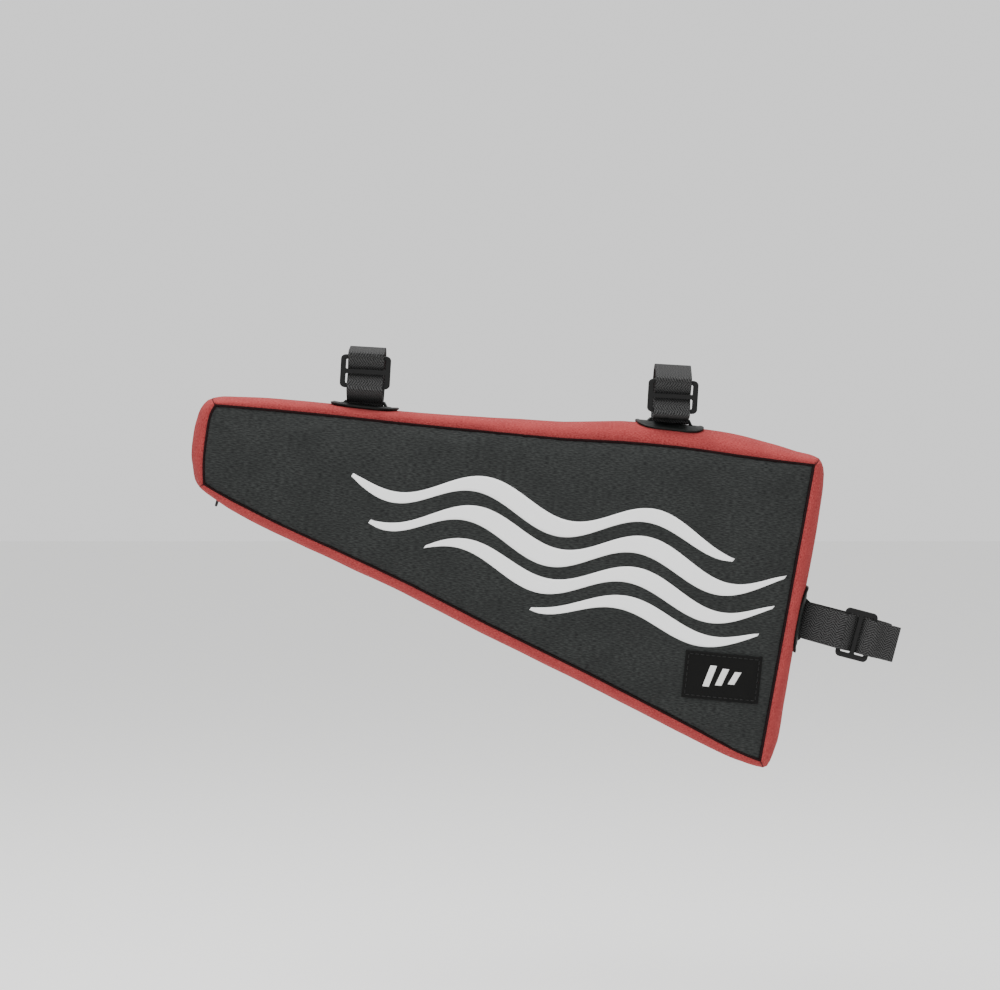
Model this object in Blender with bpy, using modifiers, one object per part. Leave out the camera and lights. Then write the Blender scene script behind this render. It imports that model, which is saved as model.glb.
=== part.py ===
"""Bicycle frame bag: a padded four-sided pouch that straps into the triangle of a frame.

The two sides face -Y and +Y, +X points to the rear of the bicycle and +Z points up.
The origin lies on the axis of the top tube, midway between the two upper straps.
Directions and places in the plane of the sides are 2-D vectors (x, z).
"""

import math
from collections import namedtuple

import bmesh
import bpy
import numpy as np
from mathutils import Matrix, Vector

MM = 0.001

# Pouch outline, measured along the seams of its sides
TOP_EDGE = 335.9 * MM
REAR_EDGE = 168.7 * MM
FRONT_EDGE = 44.9 * MM
TOP_SLOPE = math.radians(5.7)
REAR_LEAN = math.radians(10.2)
FRONT_LEAN = math.radians(8.6)

# Depth of the pouch between its side seams, and the swell of its sides and rim
BAG_DEPTH = 52.0 * MM
CROWN = 4.0 * MM
CROWN_POWER = 2.5
CORNER_BULGE = 4.1 * MM
TOP_RISE = 7.4 * MM
REAR_RISE = 5.4 * MM
BOTTOM_RISE = 2.8 * MM
FRONT_RISE = 4.4 * MM
TOP_LIFT = 2.3 * MM
BOTTOM_LIFT = 1.2 * MM
FRONT_LIFT = 2.6 * MM

# Walls and the clearance between touching pieces
GUSSET_WALL = 2.0 * MM
PANEL_WALL = 3.0 * MM
SEAM_ROLL = 1.0 * MM
GAP = 0.3 * MM

# Tubes that the straps go round: height is measured away from the bag
TOP_TUBE_HEIGHT = 27.0 * MM
TOP_TUBE_WIDTH = 36.0 * MM
SEAT_TUBE_DEPTH = 47.0 * MM
SEAT_TUBE_WIDTH = 26.0 * MM
SEAT_TUBE_LEAN = math.radians(14.6)
TUBE_SQUARENESS = 2.4
FRONT_STRAP_AT = 82.2 * MM
REAR_STRAP_AT = 254.1 * MM
SEAT_STRAP_AT = 87.3 * MM

# Each slide's shift along the height of its tube, and the free ends of the straps
FRONT_SLIDE_SHIFT = 2.6 * MM
REAR_SLIDE_SHIFT = -1.1 * MM
SEAT_SLIDE_SHIFT = 5.2 * MM
TOP_TAIL_ANGLE = 140
SEAT_TAIL_PAST = 3.6 * MM

# Webbing and its slides
STRAP_WIDTH = 20.0 * MM
STRAP_THICK = 1.3 * MM
BUCKLE_WIDTH = 28.0 * MM
BUCKLE_LENGTH = 18.6 * MM
BUCKLE_THICK = 2.6 * MM
BUCKLE_CORNER = 4.6 * MM
BAR = 2.6 * MM
BUCKLE_RIM = 0.5 * MM
BUCKLE_RIM_ANGLE = math.radians(50)

# Two layers of webbing lie between the tube and the middle of a slide, and the strap's inner
# end is tucked past its middle bar
SLIDE_OFF = 2 * STRAP_THICK + 3 * GAP + BUCKLE_THICK / 2
SLIDE_TUCK = 4.0 * MM

# Middle line of a strap in its slide, from the middle bar outwards: (share of the way to the
# end bar, share of the way from under the slide to over it), then how far it runs past that bar
SLIDE_WEAVE = ((0.0, 0.0), (0.26, 0.10), (0.52, 0.52), (0.78, 0.92), (1.0, 1.0))
SLIDE_EXIT = 0.95
SLIDE_EXIT_DIP = 0.1 * MM

# Turn of a strap through the slots of its patch, and the start of its free end
SLOT_TURN_HIGH = 2.4 * MM
SLOT_TURN_LOW = 0.8 * MM
TAIL_START_ANGLE = 20
TAIL_OFF = 1.2 * MM
TAIL_FALL = 3.5 * MM
TAIL_SHARES = (0.4, 1.0)

# Slotted patches that carry the straps
PATCH_LENGTH = 38.0 * MM
PATCH_SPAN = 44.0 * MM
PATCH_CORNER = 9.0 * MM
PATCH_THICK = 1.2 * MM
SLOT_WIDTH = 3.6 * MM
BRIDGE_SPAN = 17.0 * MM
BRIDGE_SIDE_ROOM = 1.0 * MM
BRIDGE_RAMP = 1.6 * MM
PATCH_SHARES = (0.3, 0.6, 0.85, 1.0)

# Zip on the far side
ZIP_DROP = 16.0 * MM
ZIP_SLOT = 9.4 * MM
ZIP_TAPE = 24.0 * MM
ZIP_TAPE_THICK = 0.8 * MM
ZIP_TAPE_ROOM = 0.5 * MM
ZIP_CHAIN_SUNK = 1.0 * MM
ZIP_CHAIN = 5.0 * MM
ZIP_END_ROOM = 1.5 * MM
SLIDER_LENGTH = 11.0 * MM
SLIDER_WIDTH = 7.2 * MM
SLIDER_HEIGHT = 6.0 * MM
SLIDER_AT = 13.0 * MM
SLIDER_BOW = 1.6 * MM
SLIDER_POST = 2.6 * MM
SLIDER_EDGE = 0.3 * MM
PULL_HOLE = 2.8 * MM
PULL_CORD = 1.6 * MM
PULL_DROP = 34.0 * MM
PULL_EASE = 0.3 * MM
PULL_LEAN = math.radians(17)
PULL_DROPS = (0.0, 0.25, 0.6, 1.0)

# Woven label on the near side, from the rear bottom corner
LABEL_WIDTH = 43.0 * MM
LABEL_HEIGHT = 26.5 * MM
LABEL_THICK = 0.8 * MM
LABEL_FROM_REAR = 21.8 * MM
LABEL_FROM_FOOT = 47.5 * MM
LABEL_STEPS = 8

# One row for each fold of a rim strip, from the corner where it starts to the one where it
# ends: along is a share of the edge, lift and rise are shares of that edge's own sizes,
# square is the exponent of its section, from round to flat topped
Fold = namedtuple("Fold", "along lift rise square")
CORNER_SQUARE = 2.6
TOP_FOLDS = (
    Fold(along=0.00, lift=0.00, rise=0.00, square=CORNER_SQUARE),
    Fold(along=0.03, lift=0.10, rise=0.10, square=2.8),
    Fold(along=0.10, lift=0.22, rise=0.23, square=3.4),
    Fold(along=0.20, lift=0.25, rise=0.27, square=4.3),
    Fold(along=0.30, lift=0.10, rise=0.28, square=4.5),
    Fold(along=0.45, lift=0.10, rise=0.46, square=3.6),
    Fold(along=0.58, lift=0.20, rise=0.70, square=3.0),
    Fold(along=0.68, lift=0.90, rise=0.98, square=2.9),
    Fold(along=0.78, lift=1.00, rise=0.97, square=2.8),
    Fold(along=0.86, lift=0.50, rise=0.96, square=2.5),
    Fold(along=0.93, lift=0.15, rise=0.58, square=2.5),
    Fold(along=0.98, lift=0.00, rise=0.14, square=2.6),
    Fold(along=1.00, lift=0.00, rise=0.00, square=CORNER_SQUARE),
)
REAR_FOLDS = (
    Fold(along=0.00, lift=0.0, rise=0.00, square=CORNER_SQUARE),
    Fold(along=0.04, lift=0.0, rise=0.72, square=2.6),
    Fold(along=0.12, lift=0.0, rise=0.92, square=2.6),
    Fold(along=0.38, lift=0.0, rise=0.96, square=2.8),
    Fold(along=0.52, lift=0.0, rise=0.74, square=3.2),
    Fold(along=0.64, lift=0.0, rise=0.78, square=3.0),
    Fold(along=0.80, lift=0.0, rise=0.94, square=2.6),
    Fold(along=0.93, lift=0.0, rise=0.98, square=2.6),
    Fold(along=0.98, lift=0.0, rise=0.50, square=2.6),
    Fold(along=1.00, lift=0.0, rise=0.00, square=CORNER_SQUARE),
)
BOTTOM_FOLDS = (
    Fold(along=0.00, lift=0.0, rise=0.00, square=CORNER_SQUARE),
    Fold(along=0.04, lift=0.9, rise=0.60, square=2.7),
    Fold(along=0.12, lift=0.2, rise=0.95, square=2.8),
    Fold(along=0.31, lift=-0.7, rise=1.00, square=3.0),
    Fold(along=0.50, lift=-0.4, rise=1.00, square=3.0),
    Fold(along=0.63, lift=-0.9, rise=0.96, square=3.0),
    Fold(along=0.75, lift=-0.1, rise=0.92, square=2.9),
    Fold(along=0.86, lift=1.0, rise=0.92, square=2.8),
    Fold(along=0.95, lift=0.9, rise=0.70, square=2.7),
    Fold(along=1.00, lift=0.0, rise=0.00, square=CORNER_SQUARE),
)
FRONT_FOLDS = (
    Fold(along=0.00, lift=0.0, rise=0.00, square=CORNER_SQUARE),
    Fold(along=0.12, lift=0.4, rise=0.45, square=2.6),
    Fold(along=0.32, lift=0.85, rise=0.92, square=2.7),
    Fold(along=0.58, lift=1.0, rise=1.00, square=2.7),
    Fold(along=0.82, lift=0.95, rise=0.80, square=2.6),
    Fold(along=0.94, lift=0.5, rise=0.35, square=2.6),
    Fold(along=1.00, lift=0.0, rise=0.00, square=CORNER_SQUARE),
)

# One row for each strap: where its slide sits along the tube's height, and how far its tail
# goes, as an angle round the tube or as a straight length past the tube
Strap = namedtuple("Strap", "name edge at tube_height tube_width slide_shift tail_angle tail_past")

# Steps that a form is divided in
ACROSS = 12
STEPS_PER_FOLD = 2
PANEL_STEPS_ALONG = 20
PANEL_STEPS_DOWN = 10
UPPER_PANEL_STEPS = 4
BUCKLE_ARC_STEPS = 4
BUCKLE_SLOT_STEPS = 2
MITRE_REACH = 9.0 * MM
RING_STEP = 12
PULL_STEPS = 6

# Finishes: sRGB colour, roughness
Finish = namedtuple("Finish", "colour roughness")
RED_HEATHER = Finish("A84E4C", 0.85)
CHARCOAL_HEATHER = Finish("3D3E3D", 0.88)
BLACK_WEBBING = Finish("232323", 0.9)
BLACK_PLASTIC = Finish("191919", 0.45)
BLACK_RUBBER = Finish("1F2120", 0.6)
LABEL_WEAVE = Finish("171716", 0.8)


def linear(hex_colour):
    """Linear RGBA of an sRGB hex colour."""
    parts = [int(hex_colour[i:i + 2], 16) / 255 for i in (0, 2, 4)]
    return [c / 12.92 if c <= 0.04045 else ((c + 0.055) / 1.055) ** 2.4 for c in parts] + [1.0]


def finish_object(obj, finish, smooth_angle=math.radians(40)):
    """Give an object its material and smooth shading."""
    material = bpy.data.materials.new(obj.name)
    material.use_nodes = True
    shader = material.node_tree.nodes["Principled BSDF"]
    shader.inputs["Base Color"].default_value = linear(finish.colour)
    shader.inputs["Roughness"].default_value = finish.roughness
    material.diffuse_color = linear(finish.colour)
    obj.data.materials.append(material)
    if obj.type == "MESH":
        obj.data.shade_smooth()
        obj.data.set_sharp_from_angle(angle=smooth_angle)
    return obj


def mesh_object(name, form, finish, parts):
    """Object made of a bmesh, in the collection of the parts."""
    bmesh.ops.recalc_face_normals(form, faces=form.faces)
    mesh = bpy.data.meshes.new(name)
    form.to_mesh(mesh)
    form.free()
    obj = bpy.data.objects.new(name, mesh)
    parts.objects.link(obj)
    return finish_object(obj, finish)


def loft(name, rings, finish, parts):
    """Solid through rings whose first half is the outer wall and second half the inner one."""
    form = bmesh.new()
    loops = [[form.verts.new(place) for place in ring] for ring in rings]
    count = len(loops[0])
    for ring, after in zip(loops, loops[1:]):
        for i in range(count):
            j = (i + 1) % count
            form.faces.new((ring[i], ring[j], after[j], after[i]))
    for ring in (loops[0], loops[-1]):
        for i in range(count // 2 - 1):
            form.faces.new((ring[i], ring[i + 1], ring[count - 2 - i], ring[count - 1 - i]))
    return mesh_object(name, form, finish, parts)


def smooth_column(folds, column, along):
    """Value of one column of a table of folds, on a smooth curve through its rows."""
    places = [fold.along for fold in folds]
    values = [getattr(fold, column) for fold in folds]
    i = min(max(int(np.searchsorted(places, along)) - 1, 0), len(folds) - 2)

    def slope(k):
        low, high = max(k - 1, 0), min(k + 1, len(folds) - 1)
        return (values[high] - values[low]) / (places[high] - places[low])

    width = places[i + 1] - places[i]
    t = (along - places[i]) / width
    start, end = slope(i) * width, slope(i + 1) * width
    return (
        values[i] * (1 + 2 * t) * (1 - t) ** 2
        + start * t * (1 - t) ** 2
        + values[i + 1] * t * t * (3 - 2 * t)
        + end * t * t * (t - 1)
    )


def turned_left(direction):
    """The direction a quarter turn to the left, seen from the near side."""
    return Vector((-direction.y, direction.x))


class Edge:
    """One seam edge of the sides, with the rim strip that is sewn along it."""

    def __init__(self, start, end, folds, rise, lift):
        self.start, self.end, self.folds = start, end, folds
        self.rise, self.lift = rise, lift
        self.length = (end - start).length
        self.direction = (end - start).normalized()
        self.outward = turned_left(self.direction)
        self.turn_before = self.turn_after = 0.0
        self.stations = self.station_list()
        self.lifts = [self.lift * smooth_column(folds, "lift", a) for a in self.stations]

    def station_list(self):
        """Shares of the edge where the strip has a section."""
        places = [0.0]
        for fold, after in zip(self.folds, self.folds[1:]):
            for k in range(1, STEPS_PER_FOLD + 1):
                places.append(fold.along + (after.along - fold.along) * k / STEPS_PER_FOLD)
        return places

    def seam(self, along, inset=0.0):
        """Place on the seam line, moved inwards by inset with its corners kept square."""
        short_start = inset * math.tan(self.turn_before / 2)
        short_end = inset * math.tan(self.turn_after / 2)
        reach = short_start + along * (self.length - short_start - short_end)
        lift = float(np.interp(along, self.stations, self.lifts))
        return self.start + self.direction * reach + self.outward * (lift - inset)

    def height(self, along, across, wall=0.0):
        """Height of the strip over its seam line; across runs from -1 to 1."""
        bulge = CORNER_BULGE + self.rise * smooth_column(self.folds, "rise", along) - wall
        power = smooth_column(self.folds, "square", along)
        return bulge * max(1 - abs(across) ** power, 0) ** (1 / power)

    def strip(self, along, across, wall=0.0):
        """Point of the strip's outer wall, or of its inner wall when wall is its thickness."""
        height = self.height(along, across, wall)
        reach = along * self.length
        for turn, side, distance in (
            (self.turn_before, -1, reach),
            (self.turn_after, 1, self.length - reach),
        ):
            nearness = max(0.0, 1 - distance / MITRE_REACH)
            mitre = height * math.tan(turn / 2) - GAP / 2 / math.cos(turn / 2)
            reach += side * nearness * mitre
        lift = float(np.interp(along, self.stations, self.lifts))
        place = self.start + self.direction * reach + self.outward * (lift + height)
        half = BAG_DEPTH / 2 - wall
        roll = 0.0 if wall else SEAM_ROLL * math.exp(-height / SEAM_ROLL)
        return Vector((place.x, across * (half - roll), place.y))

    def surface(self, distance, y):
        """Point on the outer wall at a distance along the edge, and the outward normal there."""
        def at(reach, side):
            return self.strip(reach / self.length, side / (BAG_DEPTH / 2))

        step = 0.5 * MM
        point = at(distance, y)
        normal = (at(distance + step, y) - at(distance - step, y)).cross(
            at(distance, y + step) - at(distance, y - step)
        )
        return point, normal.normalized()


def pouch_edges(front_top):
    """The four edges of the sides, from the front top corner round by the rear."""
    rear_top = front_top + TOP_EDGE * Vector((math.cos(TOP_SLOPE), -math.sin(TOP_SLOPE)))
    rear_foot = rear_top - REAR_EDGE * Vector((math.sin(REAR_LEAN), math.cos(REAR_LEAN)))
    front_foot = front_top - FRONT_EDGE * Vector((math.sin(FRONT_LEAN), math.cos(FRONT_LEAN)))
    edges = {
        "top": Edge(front_top, rear_top, TOP_FOLDS, TOP_RISE, TOP_LIFT),
        "rear": Edge(rear_top, rear_foot, REAR_FOLDS, REAR_RISE, 0.0),
        "bottom": Edge(rear_foot, front_foot, BOTTOM_FOLDS, BOTTOM_RISE, BOTTOM_LIFT),
        "front": Edge(front_foot, front_top, FRONT_FOLDS, FRONT_RISE, FRONT_LIFT),
    }
    loop = list(edges.values())
    for edge, after in zip(loop, loop[1:] + loop[:1]):
        edge.turn_after = after.turn_before = edge.direction.angle(after.direction)
    return edges


def strap_rows():
    """The three straps of the bag."""
    top, seat = (TOP_TUBE_HEIGHT, TOP_TUBE_WIDTH), (SEAT_TUBE_DEPTH, SEAT_TUBE_WIDTH)
    return (
        Strap("top_front", "top", FRONT_STRAP_AT, *top, FRONT_SLIDE_SHIFT, TOP_TAIL_ANGLE, 0),
        Strap("top_rear", "top", REAR_STRAP_AT, *top, REAR_SLIDE_SHIFT, TOP_TAIL_ANGLE, 0),
        Strap("rear", "rear", SEAT_STRAP_AT, *seat, SEAT_SLIDE_SHIFT, 0, SEAT_TAIL_PAST),
    )


class Seat:
    """Where a strap crosses the rim: a frame on the crest of the strip, facing the tube.

    side is measured across the bag towards its near side, up away from the rim, both from
    the tube's centre; run is measured along the tube.
    """

    def __init__(self, strap, edge, run):
        self.strap, self.edge = strap, edge
        self.run = run
        self.up = turned_left(run)
        crest = edge.surface(strap.at, 0.0)[0]
        self.crest = Vector((crest.x, crest.z))
        self.rise = self.highest_cloth()
        self.strap_level = self.rise + GAP + STRAP_THICK / 2
        self.bridge_level = self.strap_level + STRAP_THICK / 2 + GAP
        self.tube_level = self.bridge_level + PATCH_THICK + GAP + strap.tube_height / 2
        self.centre = self.crest + self.up * self.tube_level

    def highest_cloth(self):
        """How far the strip rises over its crest point under the strap and the bridge."""
        half_run, half_span = STRAP_WIDTH / 2 + BRIDGE_SIDE_ROOM, BRIDGE_SPAN / 2
        heights = []
        for run_share in (-1, -0.5, 0, 0.5, 1):
            for side_share in (-1, -0.5, 0):
                reach = self.strap.at + run_share * half_run
                point = self.edge.surface(reach, side_share * half_span)[0]
                heights.append((Vector((point.x, point.z)) - self.crest).dot(self.up))
        return max(heights)

    def place(self, run, side, level):
        """World point of a place by the tube: level is measured from the crest."""
        flat = self.crest + self.run * run + self.up * level
        return Vector((flat.x, -side, flat.y))

    def matrix(self, level):
        """World matrix with local x across to the near side, y away from the rim, z along."""
        origin = self.place(0, 0, level)
        across = Vector((0, -1, 0))
        away = Vector((self.up.x, 0, self.up.y))
        along = across.cross(away)
        rows = [Vector((across[i], away[i], along[i], origin[i])) for i in range(3)]
        return Matrix([tuple(row) for row in rows] + [(0, 0, 0, 1)])


def tube_ring(strap, degrees, off):
    """Place (side, level) round the tube's section, off outside its skin."""
    half_side, half_level = strap.tube_width / 2, strap.tube_height / 2
    c, s = math.cos(math.radians(degrees)), math.sin(math.radians(degrees))
    power = 2 / TUBE_SQUARENESS
    side = half_side * math.copysign(abs(c) ** power, c)
    level = half_level * math.copysign(abs(s) ** power, s)
    normal = Vector((
        math.copysign(abs(side / half_side) ** (TUBE_SQUARENESS - 1), side) / half_side,
        math.copysign(abs(level / half_level) ** (TUBE_SQUARENESS - 1), level) / half_level,
    )).normalized()
    return Vector((side, level)) + normal * off


def taut_contact(strap, start, off, degrees):
    """Index of the angle at which a taut band from start first touches the tube's ring."""
    def opening(angle):
        reach = tube_ring(strap, angle, off) - start
        return math.atan2(math.copysign(reach.x, start.x * reach.x), reach.y)

    return max(range(len(degrees)), key=lambda i: opening(degrees[i]))


def strap_path(seat):
    """Middle line of a strap as (side, level) places, level measured from the tube's centre.

    It runs from its inner end under the slide over the tube, down the far side, through the
    patch, up through the slide and back over itself to its free end.
    """
    strap = seat.strap
    half_side = strap.tube_width / 2
    inner = GAP + STRAP_THICK / 2
    outer = inner + STRAP_THICK + GAP
    bottom = seat.strap_level - seat.tube_level
    first = math.degrees(math.asin((strap.slide_shift - SLIDE_TUCK) / strap.tube_height * 2))

    slot = BRIDGE_SPAN / 2 + SLOT_WIDTH / 2
    rise = (
        Vector((slot + SLOT_WIDTH / 2, bottom + SLOT_TURN_HIGH)),
        Vector((slot, bottom + SLOT_TURN_LOW)),
        Vector((BRIDGE_SPAN / 2, bottom)),
    )
    far_exit = Vector((-rise[0].x, rise[0].y))
    far_angles = list(np.arange(first, 270, RING_STEP))
    last = taut_contact(strap, far_exit, inner, [max(a, 180) for a in far_angles])
    path = [tube_ring(strap, a, inner) for a in far_angles[:last + 1]]
    path += [Vector((-p.x, p.y)) for p in rise]
    path += list(reversed(rise))

    slide_side = half_side + SLIDE_OFF
    for along, out in slide_weave():
        path.append(Vector((slide_side + out, strap.slide_shift + along)))
    if strap.tail_past:
        side = half_side + outer
        end = strap.tube_height / 2 + inner + STRAP_THICK / 2 + strap.tail_past
        path.append(Vector((side + TAIL_OFF, path[-1].y + TAIL_FALL)))
        start = path[-1].y
        path += [Vector((side, start + (end - start) * share)) for share in TAIL_SHARES]
    else:
        angles = list(np.arange(TAIL_START_ANGLE, strap.tail_angle + 1, RING_STEP))
        start = taut_contact(strap, path[-1], outer, [min(a, 90) for a in angles])
        path += [tube_ring(strap, a, outer) for a in angles[start:]]
    return path


def slide_weave():
    """Places (along the strap, out from the slide's mid plane) of the strap in a slide."""
    over = BUCKLE_THICK / 2 + GAP + STRAP_THICK / 2
    bar = BUCKLE_LENGTH / 2 - BAR / 2
    half = [(along * bar, (2 * height - 1) * over) for along, height in SLIDE_WEAVE]
    half.append((bar + SLIDE_EXIT * BAR, over - SLIDE_EXIT_DIP))
    return [(-along, out) for along, out in reversed(half)] + half[1:]


def make_strap(seat, parts):
    """Webbing strap: a ribbon extruded from its middle line and given its thickness."""
    name = f"strap_{seat.strap.name}"
    curve = bpy.data.curves.new(name, "CURVE")
    curve.dimensions = "2D"
    curve.fill_mode = "NONE"
    curve.extrude = STRAP_WIDTH / 2
    path = strap_path(seat)
    spline = curve.splines.new("POLY")
    spline.points.add(len(path) - 1)
    for point, place in zip(spline.points, path):
        point.co = (place.x, place.y, 0, 1)
    obj = bpy.data.objects.new(name, curve)
    obj.matrix_world = seat.matrix(seat.tube_level)
    parts.objects.link(obj)
    wall = obj.modifiers.new("Webbing", "SOLIDIFY")
    wall.thickness = STRAP_THICK
    wall.offset = 0
    wall.use_even_offset = True
    return finish_object(obj, BLACK_WEBBING)


def rounded_outline(width, height, corner, steps):
    """Points of a rectangle with round corners, counter-clockwise."""
    points = []
    for quarter, (x, y) in enumerate(((1, 1), (-1, 1), (-1, -1), (1, -1))):
        centre = Vector((x * (width / 2 - corner), y * (height / 2 - corner)))
        for k in range(steps + 1):
            angle = math.pi / 2 * (quarter + k / steps)
            points.append(centre + corner * Vector((math.cos(angle), math.sin(angle))))
    return points


def make_buckle(seat, parts):
    """Three-bar slide: a rounded plate with two slots."""
    strap = seat.strap
    name = f"buckle_{strap.name}"
    curve = bpy.data.curves.new(name, "CURVE")
    curve.dimensions = "2D"
    curve.fill_mode = "BOTH"
    curve.extrude = BUCKLE_THICK / 2
    outlines = [rounded_outline(BUCKLE_WIDTH, BUCKLE_LENGTH, BUCKLE_CORNER, BUCKLE_ARC_STEPS)]
    slot_height = (BUCKLE_LENGTH - 3 * BAR) / 2
    slot_width = STRAP_WIDTH + 2 * BRIDGE_SIDE_ROOM
    for sign in (-1, 1):
        middle = Vector((0, sign * (BAR / 2 + slot_height / 2)))
        slot = rounded_outline(slot_width, slot_height, BAR / 3, BUCKLE_SLOT_STEPS)
        outlines.append([p + middle for p in slot])
    for outline in outlines:
        spline = curve.splines.new("POLY")
        spline.use_cyclic_u = True
        spline.points.add(len(outline) - 1)
        for point, place in zip(spline.points, outline):
            point.co = (place.x, place.y, 0, 1)
    plate = bpy.data.objects.new(name, curve)
    plate.matrix_world = slide_matrix(seat)
    parts.objects.link(plate)
    weld = plate.modifiers.new("Weld", "WELD")
    weld.merge_threshold = 0.01 * MM
    rim = plate.modifiers.new("Rim", "BEVEL")
    rim.width = BUCKLE_RIM
    rim.segments = 2
    rim.limit_method = "ANGLE"
    rim.angle_limit = BUCKLE_RIM_ANGLE
    return finish_object(plate, BLACK_PLASTIC)


def slide_matrix(seat):
    """World matrix of a slide: x along the tube, y along the strap, z to the near side."""
    strap = seat.strap
    level = seat.tube_level + strap.slide_shift
    origin = seat.place(0, strap.tube_width / 2 + SLIDE_OFF, level)
    along = Vector((seat.run.x, 0, seat.run.y))
    away = Vector((seat.up.x, 0, seat.up.y))
    out = along.cross(away)
    rows = [(along[i], away[i], out[i], origin[i]) for i in range(3)]
    return Matrix(rows + [(0, 0, 0, 1)])


def make_patch(seat, parts):
    """Slotted patch that follows the rim strip, with a bridge raised over the strap."""
    strap, form = seat.strap, bmesh.new()
    bridge_run = STRAP_WIDTH / 2 + BRIDGE_SIDE_ROOM
    slot_run = bridge_run + BRIDGE_RAMP
    half_run = PATCH_LENGTH / 2
    runs = [0.0, bridge_run / 2, bridge_run, slot_run, (slot_run + half_run) / 2, half_run]
    slot_inner, slot_outer = BRIDGE_SPAN / 2, BRIDGE_SPAN / 2 + SLOT_WIDTH
    span_left = PATCH_SPAN / 2 - slot_outer
    sides = [0.0, slot_inner, slot_outer] + [slot_outer + span_left * s for s in PATCH_SHARES]
    runs = [-r for r in reversed(runs[1:])] + runs
    sides = [-s for s in reversed(sides[1:])] + sides

    def corner_share(side):
        over = abs(side) - (PATCH_SPAN / 2 - PATCH_CORNER)
        if over <= 0:
            return 1.0
        drop = PATCH_CORNER - math.sqrt(max(PATCH_CORNER**2 - over**2, 0))
        return 1 - drop / (PATCH_LENGTH / 2)

    grid = []
    for side in sides:
        row = []
        for run in runs:
            if abs(run) <= bridge_run and abs(side) <= slot_inner:
                place = seat.place(run, side, seat.bridge_level)
            else:
                point, normal = seat.edge.surface(strap.at + run * corner_share(side), -side)
                place = point + normal * GAP
            row.append(form.verts.new(place))
        grid.append(row)
    for i in range(len(sides) - 1):
        for j in range(len(runs) - 1):
            in_slot = slot_inner <= min(abs(sides[i]), abs(sides[i + 1])) + 1e-9
            in_slot = in_slot and max(abs(sides[i]), abs(sides[i + 1])) <= slot_outer + 1e-9
            in_slot = in_slot and max(abs(runs[j]), abs(runs[j + 1])) <= slot_run + 1e-9
            if not in_slot:
                form.faces.new((grid[i][j], grid[i][j + 1], grid[i + 1][j + 1], grid[i + 1][j]))
    patch = mesh_object(f"patch_{strap.name}", form, BLACK_RUBBER, parts)
    outwards = Vector((seat.up.x, 0, seat.up.y))
    if patch.data.polygons[0].normal.dot(outwards) < 0:
        patch.data.flip_normals()
    wall = patch.modifiers.new("Sheet", "SOLIDIFY")
    wall.thickness = PATCH_THICK
    wall.offset = 1
    wall.use_even_offset = True
    return patch


class Side:
    """Crowned cloth side inside the four seams; sign is -1 on the near side, 1 on the far one.

    u runs from the front edge to the rear one and v from the top edge to the bottom one.
    """

    def __init__(self, edges, sign):
        self.edges, self.sign = edges, sign

    def flat(self, u, v):
        """Place (x, z) between the seams, blended from the four of them."""
        top, bottom = self.edges["top"], self.edges["bottom"]
        front, rear = self.edges["front"], self.edges["rear"]
        corners = (
            (1 - u) * (1 - v) * top.seam(0, GAP)
            + u * (1 - v) * top.seam(1, GAP)
            + (1 - u) * v * bottom.seam(1, GAP)
            + u * v * bottom.seam(0, GAP)
        )
        rows = (1 - v) * top.seam(u, GAP) + v * bottom.seam(1 - u, GAP)
        columns = (1 - u) * front.seam(1 - v, GAP) + u * rear.seam(v, GAP)
        return rows + columns - corners

    def depth(self, u, v):
        """Distance of the outer wall from the bag's middle plane."""
        def ridge(share):
            return max(1 - abs(2 * share - 1) ** CROWN_POWER, 0) ** (1 / CROWN_POWER)

        return BAG_DEPTH / 2 - SEAM_ROLL + (CROWN + SEAM_ROLL) * ridge(u) * ridge(v)

    def point(self, u, v, inward=0.0):
        """World point on the side, inward from its outer wall."""
        place = self.flat(u, v)
        return Vector((place.x, self.sign * (self.depth(u, v) - inward), place.y))

    def height(self, u):
        """Length of the side from its top seam to its bottom seam."""
        return (self.flat(u, 1) - self.flat(u, 0)).length

    def shares(self, place):
        """The shares (u, v) of a place (x, z), found by Newton's steps."""
        u = v = 0.5
        step = 1e-4
        for _ in range(12):
            here = self.flat(u, v)
            along = (self.flat(u + step, v) - here) / step
            down = (self.flat(u, v + step) - here) / step
            miss = place - here
            area = along.x * down.y - along.y * down.x
            u += (miss.x * down.y - miss.y * down.x) / area
            v += (along.x * miss.y - along.y * miss.x) / area
        return u, v


def crowded(steps):
    """Shares from 0 to 1 that lie closer together towards both ends."""
    return [(1 - math.cos(math.pi * k / steps)) / 2 for k in range(steps + 1)]


def make_panel(name, side, top_share, foot_share, steps_down, parts):
    """Cloth side between two lines across it, given as functions of u."""
    rings = []
    for u in crowded(PANEL_STEPS_ALONG):
        low, high = top_share(u), foot_share(u)
        shares = [low + (high - low) * share for share in crowded(steps_down)]
        outer = [side.point(u, v) for v in shares]
        inner = [side.point(u, v, PANEL_WALL) for v in reversed(shares)]
        rings.append(outer + inner)
    return loft(name, rings, CHARCOAL_HEATHER, parts)


def make_gusset(name, edge, parts):
    """Red rim strip along one edge, arched from seam to seam and mitred at both corners."""
    shares = [math.sin(math.pi * (k / ACROSS - 0.5)) for k in range(ACROSS + 1)]
    rings = []
    for along in edge.stations:
        outer = [edge.strip(along, across) for across in shares]
        inner = [edge.strip(along, across, GUSSET_WALL) for across in reversed(shares)]
        rings.append(outer + inner)
    return loft(f"gusset_{name}", rings, RED_HEATHER, parts)


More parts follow.
